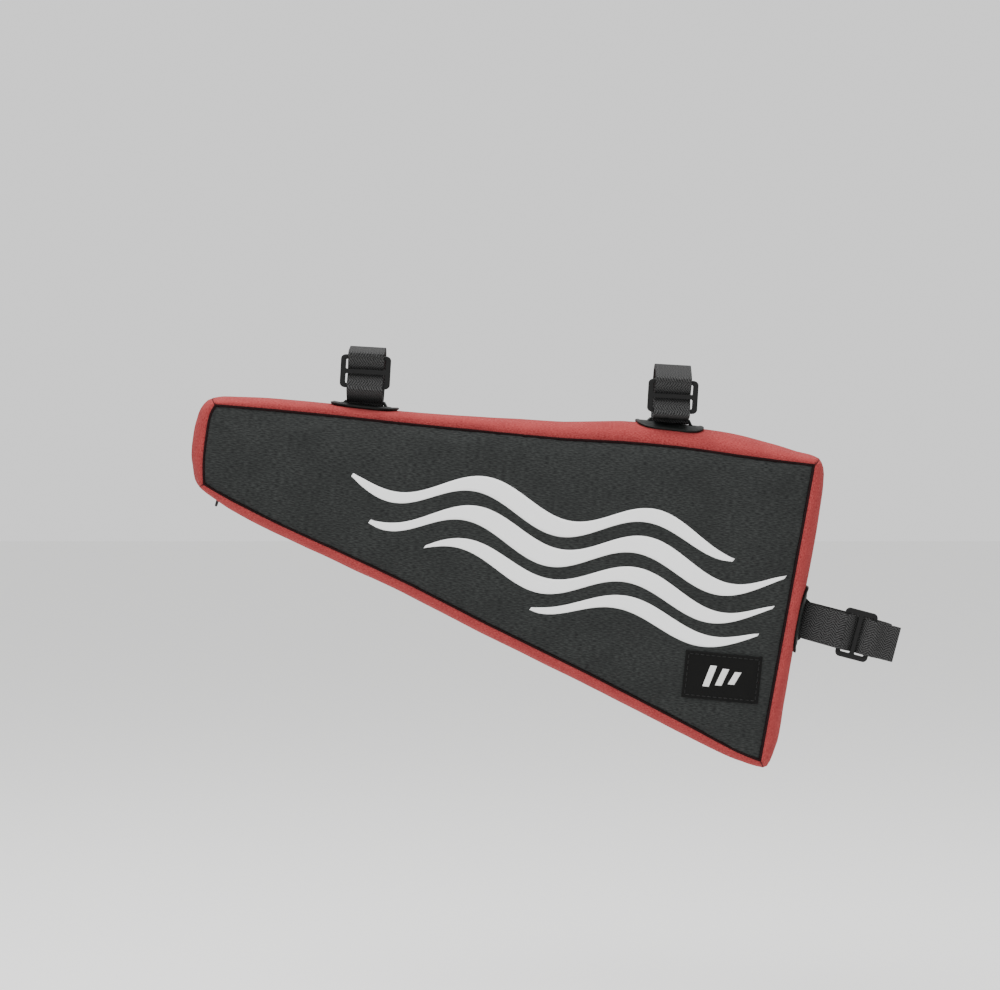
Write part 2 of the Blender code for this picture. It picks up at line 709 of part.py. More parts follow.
def make_zip(side, parts):
    """Closed zip: two tapes joined by the raised chain of its teeth."""
    half_tape, half_chain = ZIP_TAPE / 2, ZIP_CHAIN / 2
    tape_in = PANEL_WALL + ZIP_TAPE_ROOM
    outer = (
        (-half_tape, tape_in),
        (-half_chain, tape_in),
        (-half_chain, ZIP_CHAIN_SUNK),
        (half_chain, ZIP_CHAIN_SUNK),
        (half_chain, tape_in),
        (half_tape, tape_in),
    )
    inner = [(across, tape_in + ZIP_TAPE_THICK) for across in (half_tape, half_chain)]
    inner += [(half_chain / 2, inner[0][1]), (-half_chain / 2, inner[0][1])]
    inner += [(-half_chain, inner[0][1]), (-half_tape, inner[0][1])]
    rings = []
    first, last = ZIP_END_ROOM / TOP_EDGE, 1 - ZIP_END_ROOM / TOP_EDGE
    for share in crowded(PANEL_STEPS_ALONG):
        u = first + (last - first) * share
        tall = side.height(u)
        ring = [side.point(u, (ZIP_DROP + across) / tall, deep) for across, deep in outer]
        ring += [side.point(u, (ZIP_DROP + across) / tall, deep) for across, deep in inner]
        rings.append(ring)
    return loft("zip_tape", rings, BLACK_WEBBING, parts)


def zip_frame(side):
    """World matrix on the zip at its slider: x to the front, y up the side, z out."""
    u = SLIDER_AT / TOP_EDGE
    v = ZIP_DROP / side.height(u)
    step = 0.01
    origin = side.point(u, v)
    along = (side.point(u - step, v) - side.point(u + step, v)).normalized()
    out = along.cross(side.point(u, v - step) - side.point(u, v + step)).normalized()
    out = out if out.y > 0 else -out
    up = out.cross(along)
    rows = [(along[i], up[i], out[i], origin[i]) for i in range(3)]
    return Matrix(rows + [(0, 0, 0, 1)])


def box_object(name, size, matrix, collection):
    """Rectangular block of a size, centred in its matrix."""
    form = bmesh.new()
    bmesh.ops.create_cube(form, size=1.0)
    bmesh.ops.scale(form, vec=size, verts=form.verts)
    mesh = bpy.data.meshes.new(name)
    form.to_mesh(mesh)
    form.free()
    obj = bpy.data.objects.new(name, mesh)
    obj.matrix_world = matrix
    collection.objects.link(obj)
    return obj


def make_slider(side, parts, cutters):
    """Zip slider: a block that rides on the chain, with a hole for the pull under its bow."""
    frame = zip_frame(side)
    foot = GAP - ZIP_CHAIN_SUNK
    size = (SLIDER_LENGTH, SLIDER_WIDTH, SLIDER_HEIGHT)
    middle = Matrix.Translation((0, 0, foot + SLIDER_HEIGHT / 2))
    body = box_object("zip_slider", size, frame @ middle, parts)
    hole_level = foot + SLIDER_HEIGHT - SLIDER_BOW - PULL_HOLE / 2
    hole_size = (SLIDER_LENGTH - 2 * SLIDER_POST, 2 * SLIDER_WIDTH, PULL_HOLE)
    hole = box_object("slider_hole", hole_size, frame @ Matrix.Translation((0, 0, hole_level)), cutters)
    hole.display_type = "WIRE"
    hole.hide_render = True
    cut = body.modifiers.new("Hole", "BOOLEAN")
    cut.operation = "DIFFERENCE"
    cut.object = hole
    edge = body.modifiers.new("Edges", "BEVEL")
    edge.width = SLIDER_EDGE
    edge.segments = 2
    edge.limit_method = "ANGLE"
    finish_object(body, BLACK_PLASTIC)
    return body


def make_pull(side, parts):
    """Cord loop through the slider's hole and over its bow, hanging down and a little forward."""
    frame = zip_frame(side)
    bow_level = GAP - ZIP_CHAIN_SUNK + SLIDER_HEIGHT - SLIDER_BOW / 2
    radius = SLIDER_BOW / 2 + GAP + PULL_CORD / 2 + PULL_EASE
    crown = SLIDER_WIDTH / 2 - SLIDER_BOW / 2 + PULL_EASE
    points = []
    for k in range(PULL_STEPS + 1):
        angle = math.pi * k / PULL_STEPS
        across, level = radius * math.sin(angle), bow_level + radius * math.cos(angle)
        points.append(frame @ Vector((0, crown + across, level)))
    legs = [frame @ Vector((0, -SLIDER_WIDTH, bow_level + sign * radius)) for sign in (-1, 1)]
    hang = Vector((-math.sin(PULL_LEAN), 0, -math.cos(PULL_LEAN)))
    middle, half = (legs[0] + legs[1]) / 2, (legs[1] - legs[0]) / 2
    points += [legs[0] + hang * drop * PULL_DROP for drop in PULL_DROPS]
    for k in range(1, PULL_STEPS):
        angle = math.pi * k / PULL_STEPS
        below = hang * (PULL_DROP + radius * math.sin(angle))
        points.append(middle - half * math.cos(angle) + below)
    points += [legs[1] + hang * drop * PULL_DROP for drop in reversed(PULL_DROPS)]
    curve = bpy.data.curves.new("zip_pull", "CURVE")
    curve.dimensions = "3D"
    curve.bevel_depth = PULL_CORD / 2
    curve.bevel_resolution = 2
    spline = curve.splines.new("POLY")
    spline.use_cyclic_u = True
    spline.points.add(len(points) - 1)
    for point, place in zip(spline.points, points):
        point.co = (*place, 1)
    obj = bpy.data.objects.new("zip_pull", curve)
    parts.objects.link(obj)
    return finish_object(obj, BLACK_WEBBING)


def make_label(side, rear_foot, parts):
    """Woven label that lies on the near side, level with the top edge."""
    along = Vector((math.cos(TOP_SLOPE), -math.sin(TOP_SLOPE)))
    up = turned_left(along)
    centre = rear_foot + Vector((-LABEL_FROM_REAR, LABEL_FROM_FOOT))
    form = bmesh.new()
    bmesh.ops.create_grid(form, x_segments=LABEL_STEPS, y_segments=LABEL_STEPS // 2, size=0.5)
    for vert in form.verts:
        place = centre + along * vert.co.x * LABEL_WIDTH + up * vert.co.y * LABEL_HEIGHT
        u, v = side.shares(place)
        vert.co = Vector((place.x, side.sign * (side.depth(u, v) + GAP), place.y))
    label = mesh_object("side_label", form, LABEL_WEAVE, parts)
    if label.data.polygons[0].normal.y * side.sign < 0:
        label.data.flip_normals()
    wall = label.modifiers.new("Weave", "SOLIDIFY")
    wall.thickness = LABEL_THICK
    wall.offset = 1
    return label


def strap_seats(edges):
    """The three places where a strap crosses the rim."""
    straps = strap_rows()
    crests = [edges[s.edge].surface(s.at, 0.0)[0] for s in straps]
    tube = Vector((crests[1].x - crests[0].x, crests[1].z - crests[0].z)).normalized()
    seat_tube = -Vector((math.sin(SEAT_TUBE_LEAN), math.cos(SEAT_TUBE_LEAN)))
    return [Seat(s, edges[s.edge], run) for s, run in zip(straps, (tube, tube, seat_tube))]


def build():
    """Model the bag, its origin midway between the upper straps on the top tube's axis."""
    for obj in list(bpy.data.objects):
        bpy.data.objects.remove(obj, do_unlink=True)
    parts = bpy.data.collections.new("bicycle_frame_bag")
    cutters = bpy.data.collections.new("cutters")
    for collection in (parts, cutters):
        bpy.context.scene.collection.children.link(collection)

    loose = strap_seats(pouch_edges(Vector((0, 0))))
    origin = (loose[0].centre + loose[1].centre) / 2
    edges = pouch_edges(-origin)

    for name, edge in edges.items():
        make_gusset(name, edge, parts)
    near, far = Side(edges, -1), Side(edges, 1)
    make_panel("side_panel_near", near, lambda u: 0, lambda u: 1, PANEL_STEPS_DOWN, parts)
    slot_top, slot_foot = ZIP_DROP - ZIP_SLOT / 2, ZIP_DROP + ZIP_SLOT / 2

    def slot_high(u):
        return slot_top / far.height(u)

    def slot_low(u):
        return slot_foot / far.height(u)

    make_panel("side_panel_far_upper", far, lambda u: 0, slot_high, UPPER_PANEL_STEPS, parts)
    make_panel("side_panel_far_lower", far, slot_low, lambda u: 1, PANEL_STEPS_DOWN, parts)
    make_zip(far, parts)
    make_slider(far, parts, cutters)
    make_pull(far, parts)
    make_label(near, edges["rear"].end, parts)
    for seat in strap_seats(edges):
        make_patch(seat, parts)
        make_strap(seat, parts)
        make_buckle(seat, parts)


build()
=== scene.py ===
"""Looks of a bicycle frame bag: heather cloth, webbing, moulded slides and patches.

Lengths are in metres in the part's own frame: -Y faces the near side, +X points to the rear
of the bicycle and +Z points up. Places in the plane of the sides are 2-D vectors (x, z).
"""

import math
from collections import namedtuple

import bmesh
import bpy
import numpy as np
from mathutils import Matrix, Vector, noise
from mathutils.bvhtree import BVHTree


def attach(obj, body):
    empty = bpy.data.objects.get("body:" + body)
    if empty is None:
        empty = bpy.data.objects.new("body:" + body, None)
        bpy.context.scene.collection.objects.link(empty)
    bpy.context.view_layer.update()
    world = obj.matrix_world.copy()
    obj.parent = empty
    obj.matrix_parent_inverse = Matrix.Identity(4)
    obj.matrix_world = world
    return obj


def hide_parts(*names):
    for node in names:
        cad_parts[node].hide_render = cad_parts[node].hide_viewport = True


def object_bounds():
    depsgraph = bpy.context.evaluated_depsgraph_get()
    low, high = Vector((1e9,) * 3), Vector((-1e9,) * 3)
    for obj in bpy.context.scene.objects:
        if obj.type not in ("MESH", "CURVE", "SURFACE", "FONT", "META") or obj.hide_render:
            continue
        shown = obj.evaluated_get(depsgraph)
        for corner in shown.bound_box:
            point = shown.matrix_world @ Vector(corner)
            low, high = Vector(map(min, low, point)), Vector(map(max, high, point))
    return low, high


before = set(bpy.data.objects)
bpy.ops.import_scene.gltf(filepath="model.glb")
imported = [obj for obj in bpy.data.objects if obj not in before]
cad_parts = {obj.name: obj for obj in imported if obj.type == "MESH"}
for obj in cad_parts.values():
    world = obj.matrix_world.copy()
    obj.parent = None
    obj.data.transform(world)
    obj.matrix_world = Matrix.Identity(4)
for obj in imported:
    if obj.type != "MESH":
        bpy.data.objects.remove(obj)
CAD_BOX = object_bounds()
MM = 0.001

# Sizes of the pouch, the same as the part's own
TOP_EDGE, REAR_EDGE, FRONT_EDGE = 335.9 * MM, 168.7 * MM, 44.9 * MM
TOP_SLOPE, REAR_LEAN, FRONT_LEAN = (math.radians(a) for a in (5.7, 10.2, 8.6))
FRONT_TOP = Vector((-169.332 * MM, -10.798 * MM))
BAG_DEPTH = 52.0 * MM
CROWN, CROWN_POWER = 4.0 * MM, 2.5
CORNER_BULGE = 4.1 * MM
TOP_RISE, REAR_RISE, BOTTOM_RISE, FRONT_RISE = 7.4 * MM, 5.4 * MM, 2.8 * MM, 4.4 * MM
TOP_LIFT, BOTTOM_LIFT, FRONT_LIFT = 2.3 * MM, 1.2 * MM, 2.6 * MM
SEAM_ROLL = 1.0 * MM
GAP = 0.3 * MM
CLOTH_WALL, PANEL_WALL = 1.2 * MM, 2.4 * MM
MITRE_REACH = 9.0 * MM
SEAM_DIP, SEAM_DIP_REACH = 1.2 * MM, 1.9 * MM
MITRE_DIP, MITRE_DIP_REACH, CORNER_GATHER = 0.8 * MM, 2.2 * MM, 14.0 * MM

# Sewn cloth: its gathers and slack, the fades that keep its seams still, its cords
PUCKER_LONG, PUCKER_SHORT, SLACK_LONG, SLACK_HIGH = 7 * MM, 3.4 * MM, 46 * MM, 30 * MM
SIDE_SLACK, SIDE_PUCKER, SIDE_FADE = 0.5 * MM, 0.3 * MM, 2 * MM
RIM_PUCKER, RIM_PUCKER_REACH, CORNER_GATHER_MORE = 0.45 * MM, 5 * MM, 1.4
RIM_END_FADE, RIM_SEAM_FADE, RIM_STEP, RIM_ROWS = 4 * MM, 1.2 * MM, 2.2 * MM, 30
# The seam cord's radius is widened so that its near-black colour also paints the shade in the seam
# groove
SEAM_STEP, SEAM_CORD, SEAM_ROLLS_IN = 1.5 * MM, 0.8 * MM, 1.4
MITRE_CORD, MITRE_SUNK, MITRE_STEPS = 0.34 * MM, 0.3 * MM, 40

# Cloth simulation of the sides: pressed outwards for a few frames, held along the border
SETTLE_FRAMES, SETTLE_MOST = 20, 0.9 * MM
SETTLE_CLOTH = {
    "quality": 6, "mass": 0.25, "tension_stiffness": 18, "compression_stiffness": 18,
    "shear_stiffness": 8, "bending_stiffness": 2.5, "vertex_group_mass": "seam",
    "use_pressure": True, "uniform_pressure_force": 1.6, "shrink_min": -0.012,
    "shrink_max": -0.012,
}

# Tubes that the straps go round, the webbing and its slides
TOP_TUBE_HEIGHT, TOP_TUBE_WIDTH = 27.0 * MM, 36.0 * MM
SEAT_TUBE_DEPTH, SEAT_TUBE_WIDTH = 47.0 * MM, 26.0 * MM
SEAT_TUBE_LEAN = math.radians(14.6)
TUBE_SQUARENESS = 2.4
FRONT_STRAP_AT, REAR_STRAP_AT, SEAT_STRAP_AT = 82.2 * MM, 254.1 * MM, 87.3 * MM
STRAP_WIDTH, STRAP_THICK, STRAP_ROWS = 20.0 * MM, 1.3 * MM, 8
BUCKLE_WIDTH, BUCKLE_LENGTH, BUCKLE_THICK = 28.0 * MM, 18.6 * MM, 2.6 * MM
BUCKLE_CORNER, BAR = 4.6 * MM, 2.6 * MM
SLIDE_OFF = 2 * STRAP_THICK + 3 * GAP + BUCKLE_THICK / 2
SLIDE_TUCK = 4.0 * MM
SLIDE_WEAVE = ((0.0, 0.0), (0.26, 0.10), (0.52, 0.52), (0.78, 0.92), (1.0, 1.0))
SLIDE_EXIT, SLIDE_EXIT_DIP = 0.95, 0.1 * MM
SLOT_TURN_HIGH, SLOT_TURN_LOW = 2.4 * MM, 0.8 * MM
TAIL_START_ANGLE, TAIL_OFF, TAIL_FALL, TAIL_SHARES = 20, 1.2 * MM, 3.5 * MM, (0.4, 1.0)
RING_STEP = 12

# Slotted patches, zip and label
PATCH_LENGTH, PATCH_SPAN, PATCH_CORNER, PATCH_THICK = 38.0 * MM, 44.0 * MM, 9.0 * MM, 1.2 * MM
SLOT_WIDTH, BRIDGE_SPAN, BRIDGE_SIDE_ROOM, BRIDGE_RAMP = 3.6 * MM, 17.0 * MM, 1.0 * MM, 1.6 * MM
ZIP_DROP, ZIP_SLOT, ZIP_TAPE, ZIP_END_ROOM = 16.0 * MM, 9.4 * MM, 24.0 * MM, 1.5 * MM
ZIP_CHAIN_SUNK, ZIP_CHAIN, CHAIN_ROOM = 1.0 * MM, 5.0 * MM, 0.4 * MM
ZIP_CLOTH_THICK, TAPE_RAISED, TAPE_SUNK = 0.6 * MM, 2.9 * MM, 3.5 * MM
TOOTH_PITCH, TOOTH_WIDE, TOOTH_HIGH, TOOTH_SUNK = 1.6 * MM, 0.95 * MM, 1.7 * MM, 0.9 * MM
TOOTH_EDGE, TOOTH_TILT = 0.28 * MM, math.radians(14)
LABEL_WIDTH, LABEL_HEIGHT = 43.0 * MM, 26.5 * MM
LABEL_FROM_REAR, LABEL_FROM_FOOT = 21.8 * MM, 47.5 * MM

# Printed waves, in millimetres along the top seam from the front corner and down from it
Wave = namedtuple("Wave", "start end down swing phase width")
WAVES = (
    Wave(start=80, end=296, down=31, swing=8.0, phase=0.00, width=11.0),
    Wave(start=92, end=326, down=48, swing=8.0, phase=0.25, width=12.0),
    Wave(start=124, end=321, down=65, swing=7.5, phase=0.50, width=10.5),
    Wave(start=186, end=314, down=80, swing=6.5, phase=0.75, width=9.0),
)
WAVE_ORIGIN, WAVE_LENGTH, WAVE_FALL, NIB_ANGLE = 80.0, 96.0, 0.085, math.radians(58)
WAVE_STEPS, NIB_STEPS, NIB_TIP, NIB_FULLNESS = 96, 6, 0.02, 0.42
INK_THICK, INK_OFF = 0.12 * MM, 0.14 * MM

# Each row of a rim strip: share of its edge, shares of its lift and its rise, squareness
Fold = namedtuple("Fold", "along lift rise square")
TOP_FOLDS = [Fold(*row) for row in (
    (0.00, 0.00, 0.00, 2.6), (0.03, 0.10, 0.10, 2.8), (0.10, 0.22, 0.23, 3.4),
    (0.20, 0.25, 0.27, 4.3), (0.30, 0.10, 0.28, 4.5), (0.45, 0.10, 0.46, 3.6),
    (0.58, 0.20, 0.70, 3.0), (0.68, 0.90, 0.98, 2.9), (0.78, 1.00, 0.97, 2.8),
    (0.86, 0.50, 0.96, 2.5), (0.93, 0.15, 0.58, 2.5), (0.98, 0.00, 0.14, 2.6),
    (1.00, 0.00, 0.00, 2.6),
)]
REAR_FOLDS = [Fold(*row) for row in (
    (0.00, 0.0, 0.00, 2.6), (0.04, 0.0, 0.72, 2.6), (0.12, 0.0, 0.92, 2.6),
    (0.38, 0.0, 0.96, 2.8), (0.52, 0.0, 0.74, 3.2), (0.64, 0.0, 0.78, 3.0),
    (0.80, 0.0, 0.94, 2.6), (0.93, 0.0, 0.98, 2.6), (0.98, 0.0, 0.50, 2.6),
    (1.00, 0.0, 0.00, 2.6),
)]
BOTTOM_FOLDS = [Fold(*row) for row in (
    (0.00, 0.0, 0.00, 2.6), (0.04, 0.9, 0.60, 2.7), (0.12, 0.2, 0.95, 2.8),
    (0.31, -0.7, 1.00, 3.0), (0.50, -0.4, 1.00, 3.0), (0.63, -0.9, 0.96, 3.0),
    (0.75, -0.1, 0.92, 2.9), (0.86, 1.0, 0.92, 2.8), (0.95, 0.9, 0.70, 2.7),
    (1.00, 0.0, 0.00, 2.6),
)]
FRONT_FOLDS = [Fold(*row) for row in (
    (0.00, 0.0, 0.00, 2.6), (0.12, 0.4, 0.45, 2.6), (0.32, 0.85, 0.92, 2.7),
    (0.58, 1.0, 1.00, 2.7), (0.82, 0.95, 0.80, 2.6), (0.94, 0.5, 0.35, 2.6),
    (1.00, 0.0, 0.00, 2.6),
)]
STEPS_PER_FOLD = 2
Strap = namedtuple("Strap", "name edge at tube_height tube_width slide_shift tail_angle tail_past")
STRAPS = (
    Strap("top_front", "top", FRONT_STRAP_AT, TOP_TUBE_HEIGHT, TOP_TUBE_WIDTH, 2.6 * MM, 140, 0),
    Strap("top_rear", "top", REAR_STRAP_AT, TOP_TUBE_HEIGHT, TOP_TUBE_WIDTH, -1.1 * MM, 140, 0),
    Strap("rear", "rear", SEAT_STRAP_AT, SEAT_TUBE_DEPTH, SEAT_TUBE_WIDTH, 5.2 * MM, 0, 3.6 * MM),
)


def smooth_column(folds, column, along):
    """Value of one column of a table of folds, on a smooth curve through its rows."""
    places = [fold.along for fold in folds]
    values = [getattr(fold, column) for fold in folds]
    i = min(max(int(np.searchsorted(places, along)) - 1, 0), len(folds) - 2)

    def slope(k):
        low, high = max(k - 1, 0), min(k + 1, len(folds) - 1)
        return (values[high] - values[low]) / (places[high] - places[low])

    width = places[i + 1] - places[i]
    t = (along - places[i]) / width
    start, end = slope(i) * width, slope(i + 1) * width
    return (
        values[i] * (1 + 2 * t) * (1 - t) ** 2 + start * t * (1 - t) ** 2
        + values[i + 1] * t * t * (3 - 2 * t) + end * t * t * (t - 1)
    )


def turned_left(direction):
    """The direction a quarter turn to the left, seen from the near side."""
    return Vector((-direction.y, direction.x))


def axes_matrix(x, y, z, origin):
    """World matrix of a frame with the given axes at a place."""
    return Matrix([(x[i], y[i], z[i], origin[i]) for i in range(3)] + [(0, 0, 0, 1)])


class Edge:
    """One seam edge of the sides, with the rim strip that is sewn along it."""

    def __init__(self, start, end, folds, rise, lift):
        self.start, self.folds, self.rise, self.lift = start, folds, rise, lift
        self.end = end
        self.length = (end - start).length
        self.direction = (end - start).normalized()
        self.outward = turned_left(self.direction)
        self.turn_before = self.turn_after = 0.0
        self.stations = [0.0]
        for fold, after in zip(folds, folds[1:]):
            for k in range(1, STEPS_PER_FOLD + 1):
                step = (after.along - fold.along) * k / STEPS_PER_FOLD
                self.stations.append(fold.along + step)
        self.lifts = [lift * smooth_column(folds, "lift", a) for a in self.stations]

    def seam(self, along, inset=0.0):
        """Place on the seam line, moved inwards by inset with its corners kept square."""
        short_start = inset * math.tan(self.turn_before / 2)
        short_end = inset * math.tan(self.turn_after / 2)
        reach = short_start + along * (self.length - short_start - short_end)
        lift = float(np.interp(along, self.stations, self.lifts))
        return self.start + self.direction * reach + self.outward * (lift - inset)

    def height(self, along, across):
        """Height of the strip over its seam line; across runs from -1 to 1."""
        bulge = CORNER_BULGE + self.rise * smooth_column(self.folds, "rise", along)
        power = smooth_column(self.folds, "square", along)
        return bulge * max(1 - abs(across) ** power, 0) ** (1 / power)

    def strip(self, along, across):
        """Point of the strip's outer face."""
        height = self.height(along, across)
        reach = along * self.length
        ends = (
            (self.turn_before, -1, along * self.length),
            (self.turn_after, 1, (1 - along) * self.length),
        )
        for turn, side, distance in ends:
            nearness = max(0.0, 1 - distance / MITRE_REACH)
            mitre = height * math.tan(turn / 2) - GAP / 2 / math.cos(turn / 2)
            reach += side * nearness * mitre
        lift = float(np.interp(along, self.stations, self.lifts))
        place = self.start + self.direction * reach + self.outward * (lift + height)
        roll = SEAM_ROLL * math.exp(-height / SEAM_ROLL)
        return Vector((place.x, across * (BAG_DEPTH / 2 - roll), place.y))

    def surface(self, distance, y):
        """Point on the outer face at a distance along the edge, and the outward normal there."""
        def at(reach, side):
            return self.strip(reach / self.length, side / (BAG_DEPTH / 2))

        step = 0.5 * MM
        along = at(distance + step, y) - at(distance - step, y)
        across = at(distance, y + step) - at(distance, y - step)
        return at(distance, y), along.cross(across).normalized()


def pouch_edges():
    """The four edges of the sides, from the front top corner round by the rear."""
    rear_top = FRONT_TOP + TOP_EDGE * Vector((math.cos(TOP_SLOPE), -math.sin(TOP_SLOPE)))
    rear_foot = rear_top - REAR_EDGE * Vector((math.sin(REAR_LEAN), math.cos(REAR_LEAN)))
    front_foot = FRONT_TOP - FRONT_EDGE * Vector((math.sin(FRONT_LEAN), math.cos(FRONT_LEAN)))
    edges = {
        "top": Edge(FRONT_TOP, rear_top, TOP_FOLDS, TOP_RISE, TOP_LIFT),
        "rear": Edge(rear_top, rear_foot, REAR_FOLDS, REAR_RISE, 0.0),
        "bottom": Edge(rear_foot, front_foot, BOTTOM_FOLDS, BOTTOM_RISE, BOTTOM_LIFT),
        "front": Edge(front_foot, FRONT_TOP, FRONT_FOLDS, FRONT_RISE, FRONT_LIFT),
    }
    loop = list(edges.values())
    for edge, after in zip(loop, loop[1:] + loop[:1]):
        edge.turn_after = after.turn_before = edge.direction.angle(after.direction)
    return edges


EDGES = pouch_edges()


class Side:
    """Crowned cloth side inside the four seams; sign is -1 on the near side, 1 on the far one."""

    def __init__(self, sign):
        self.sign = sign

    def flat(self, u, v):
        """Place (x, z) between the seams, blended from the four of them."""
        top, bottom, front, rear = (EDGES[n] for n in ("top", "bottom", "front", "rear"))
        corners = (
            (1 - u) * (1 - v) * top.seam(0, GAP) + u * (1 - v) * top.seam(1, GAP)
            + (1 - u) * v * bottom.seam(1, GAP) + u * v * bottom.seam(0, GAP)
        )
        rows = (1 - v) * top.seam(u, GAP) + v * bottom.seam(1 - u, GAP)
        columns = (1 - u) * front.seam(1 - v, GAP) + u * rear.seam(v, GAP)
        return rows + columns - corners

    def depth(self, u, v):
        """Distance of the outer face from the bag's middle plane."""
        def ridge(share):
            return max(1 - abs(2 * share - 1) ** CROWN_POWER, 0) ** (1 / CROWN_POWER)

        return BAG_DEPTH / 2 - SEAM_ROLL + (CROWN + SEAM_ROLL) * ridge(u) * ridge(v)

    def point(self, u, v, inward=0.0):
        """World point on the side, inward from its outer face."""
        place = self.flat(u, v)
        return Vector((place.x, self.sign * (self.depth(u, v) - inward), place.y))

    def height(self, u):
        """Length of the side from its top seam to its bottom seam."""
        return (self.flat(u, 1) - self.flat(u, 0)).length


NEAR, FAR = Side(-1), Side(1)


class Seat:
    """Where a strap crosses the rim: a frame on the crest of the strip, facing the tube."""

    def __init__(self, strap, run):
        self.strap, self.edge, self.run = strap, EDGES[strap.edge], run
        self.up = turned_left(run)
        crest = self.edge.surface(strap.at, 0.0)[0]
        self.crest = Vector((crest.x, crest.z))
        self.strap_level = self.highest_cloth() + GAP + STRAP_THICK / 2
        self.bridge_level = self.strap_level + STRAP_THICK / 2 + GAP
        self.tube_level = self.bridge_level + PATCH_THICK + GAP + strap.tube_height / 2

    def highest_cloth(self):
        """How far the strip rises over its crest point under the strap and the bridge."""
        half_run, heights = STRAP_WIDTH / 2 + BRIDGE_SIDE_ROOM, []
        for run_share in (-1, -0.5, 0, 0.5, 1):
            for side_share in (-1, -0.5, 0):
                reach = self.strap.at + run_share * half_run
                point = self.edge.surface(reach, side_share * BRIDGE_SPAN / 2)[0]
                heights.append((Vector((point.x, point.z)) - self.crest).dot(self.up))
        return max(heights)

    def place(self, run, side, level):
        """World point of a place by the tube: level is measured from the crest."""
        flat = self.crest + self.run * run + self.up * level
        return Vector((flat.x, -side, flat.y))

    def slide_matrix(self):
        """World matrix of the slide: x along the tube, y along the strap, z to the near side."""
        level = self.tube_level + self.strap.slide_shift
        origin = self.place(0, self.strap.tube_width / 2 + SLIDE_OFF, level)
        along, away = Vector((self.run.x, 0, self.run.y)), Vector((self.up.x, 0, self.up.y))
        return axes_matrix(along, away, along.cross(away), origin)


def strap_seats():
    """The three places where a strap crosses the rim."""
    crests = [EDGES[s.edge].surface(s.at, 0.0)[0] for s in STRAPS]
    tube = Vector((crests[1].x - crests[0].x, crests[1].z - crests[0].z)).normalized()
    seat_tube = -Vector((math.sin(SEAT_TUBE_LEAN), math.cos(SEAT_TUBE_LEAN)))
    return [Seat(s, run) for s, run in zip(STRAPS, (tube, tube, seat_tube))]


def tube_ring(strap, degrees, off):
    """Place (side, level) round the tube's section, off outside its skin."""
    half_side, half_level = strap.tube_width / 2, strap.tube_height / 2
    c, s = math.cos(math.radians(degrees)), math.sin(math.radians(degrees))
    power, steep = 2 / TUBE_SQUARENESS, TUBE_SQUARENESS - 1
    side = half_side * math.copysign(abs(c) ** power, c)
    level = half_level * math.copysign(abs(s) ** power, s)
    normal = Vector((
        math.copysign(abs(side / half_side) ** steep, side) / half_side,
        math.copysign(abs(level / half_level) ** steep, level) / half_level,
    )).normalized()
    return Vector((side, level)) + normal * off


def taut_contact(strap, start, off, degrees):
    """Index of the angle at which a taut band from start first touches the tube's ring."""
    def opening(angle):
        reach = tube_ring(strap, angle, off) - start
        return math.atan2(math.copysign(reach.x, start.x * reach.x), reach.y)

    return max(range(len(degrees)), key=lambda i: opening(degrees[i]))


def slide_weave():
    """Places (along the strap, out from the slide's mid plane) of the strap in a slide."""
    over = BUCKLE_THICK / 2 + GAP + STRAP_THICK / 2
    bar = BUCKLE_LENGTH / 2 - BAR / 2
    half = [(along * bar, (2 * height - 1) * over) for along, height in SLIDE_WEAVE]
    half.append((bar + SLIDE_EXIT * BAR, over - SLIDE_EXIT_DIP))
    return [(-along, out) for along, out in reversed(half)] + half[1:]


def strap_path(seat):
    """Middle line of a strap as (side, level) places, level measured from the tube's centre."""
    strap = seat.strap
    inner = GAP + STRAP_THICK / 2
    outer = inner + STRAP_THICK + GAP
    bottom = seat.strap_level - seat.tube_level
    first = math.degrees(math.asin((strap.slide_shift - SLIDE_TUCK) / strap.tube_height * 2))
    slot = BRIDGE_SPAN / 2 + SLOT_WIDTH / 2
    rise = (
        Vector((slot + SLOT_WIDTH / 2, bottom + SLOT_TURN_HIGH)),
        Vector((slot, bottom + SLOT_TURN_LOW)),
        Vector((BRIDGE_SPAN / 2, bottom)),
    )
    far_angles = list(np.arange(first, 270, RING_STEP))
    far_exit = Vector((-rise[0].x, rise[0].y))
    last = taut_contact(strap, far_exit, inner, [max(a, 180) for a in far_angles])
    path = [tube_ring(strap, a, inner) for a in far_angles[:last + 1]]
    path += [Vector((-p.x, p.y)) for p in rise]
    path += list(reversed(rise))
    for along, out in slide_weave():
        side = strap.tube_width / 2 + SLIDE_OFF + out
        path.append(Vector((side, strap.slide_shift + along)))
    if strap.tail_past:
        side = strap.tube_width / 2 + outer
        end = strap.tube_height / 2 + inner + STRAP_THICK / 2 + strap.tail_past
        path.append(Vector((side + TAIL_OFF, path[-1].y + TAIL_FALL)))
        start = path[-1].y
        path += [Vector((side, start + (end - start) * share)) for share in TAIL_SHARES]
    else:
        angles = list(np.arange(TAIL_START_ANGLE, strap.tail_angle + 1, RING_STEP))
        start = taut_contact(strap, path[-1], outer, [min(a, 90) for a in angles])
        path += [tube_ring(strap, a, outer) for a in angles[start:]]
    return path


def linear(hex_colour):
    """Linear RGBA of an sRGB hex colour."""
    parts = [int(hex_colour[i:i + 2], 16) / 255 for i in (0, 2, 4)]
    return [c / 12.92 if c <= 0.04045 else ((c + 0.055) / 1.055) ** 2.4 for c in parts] + [1.0]


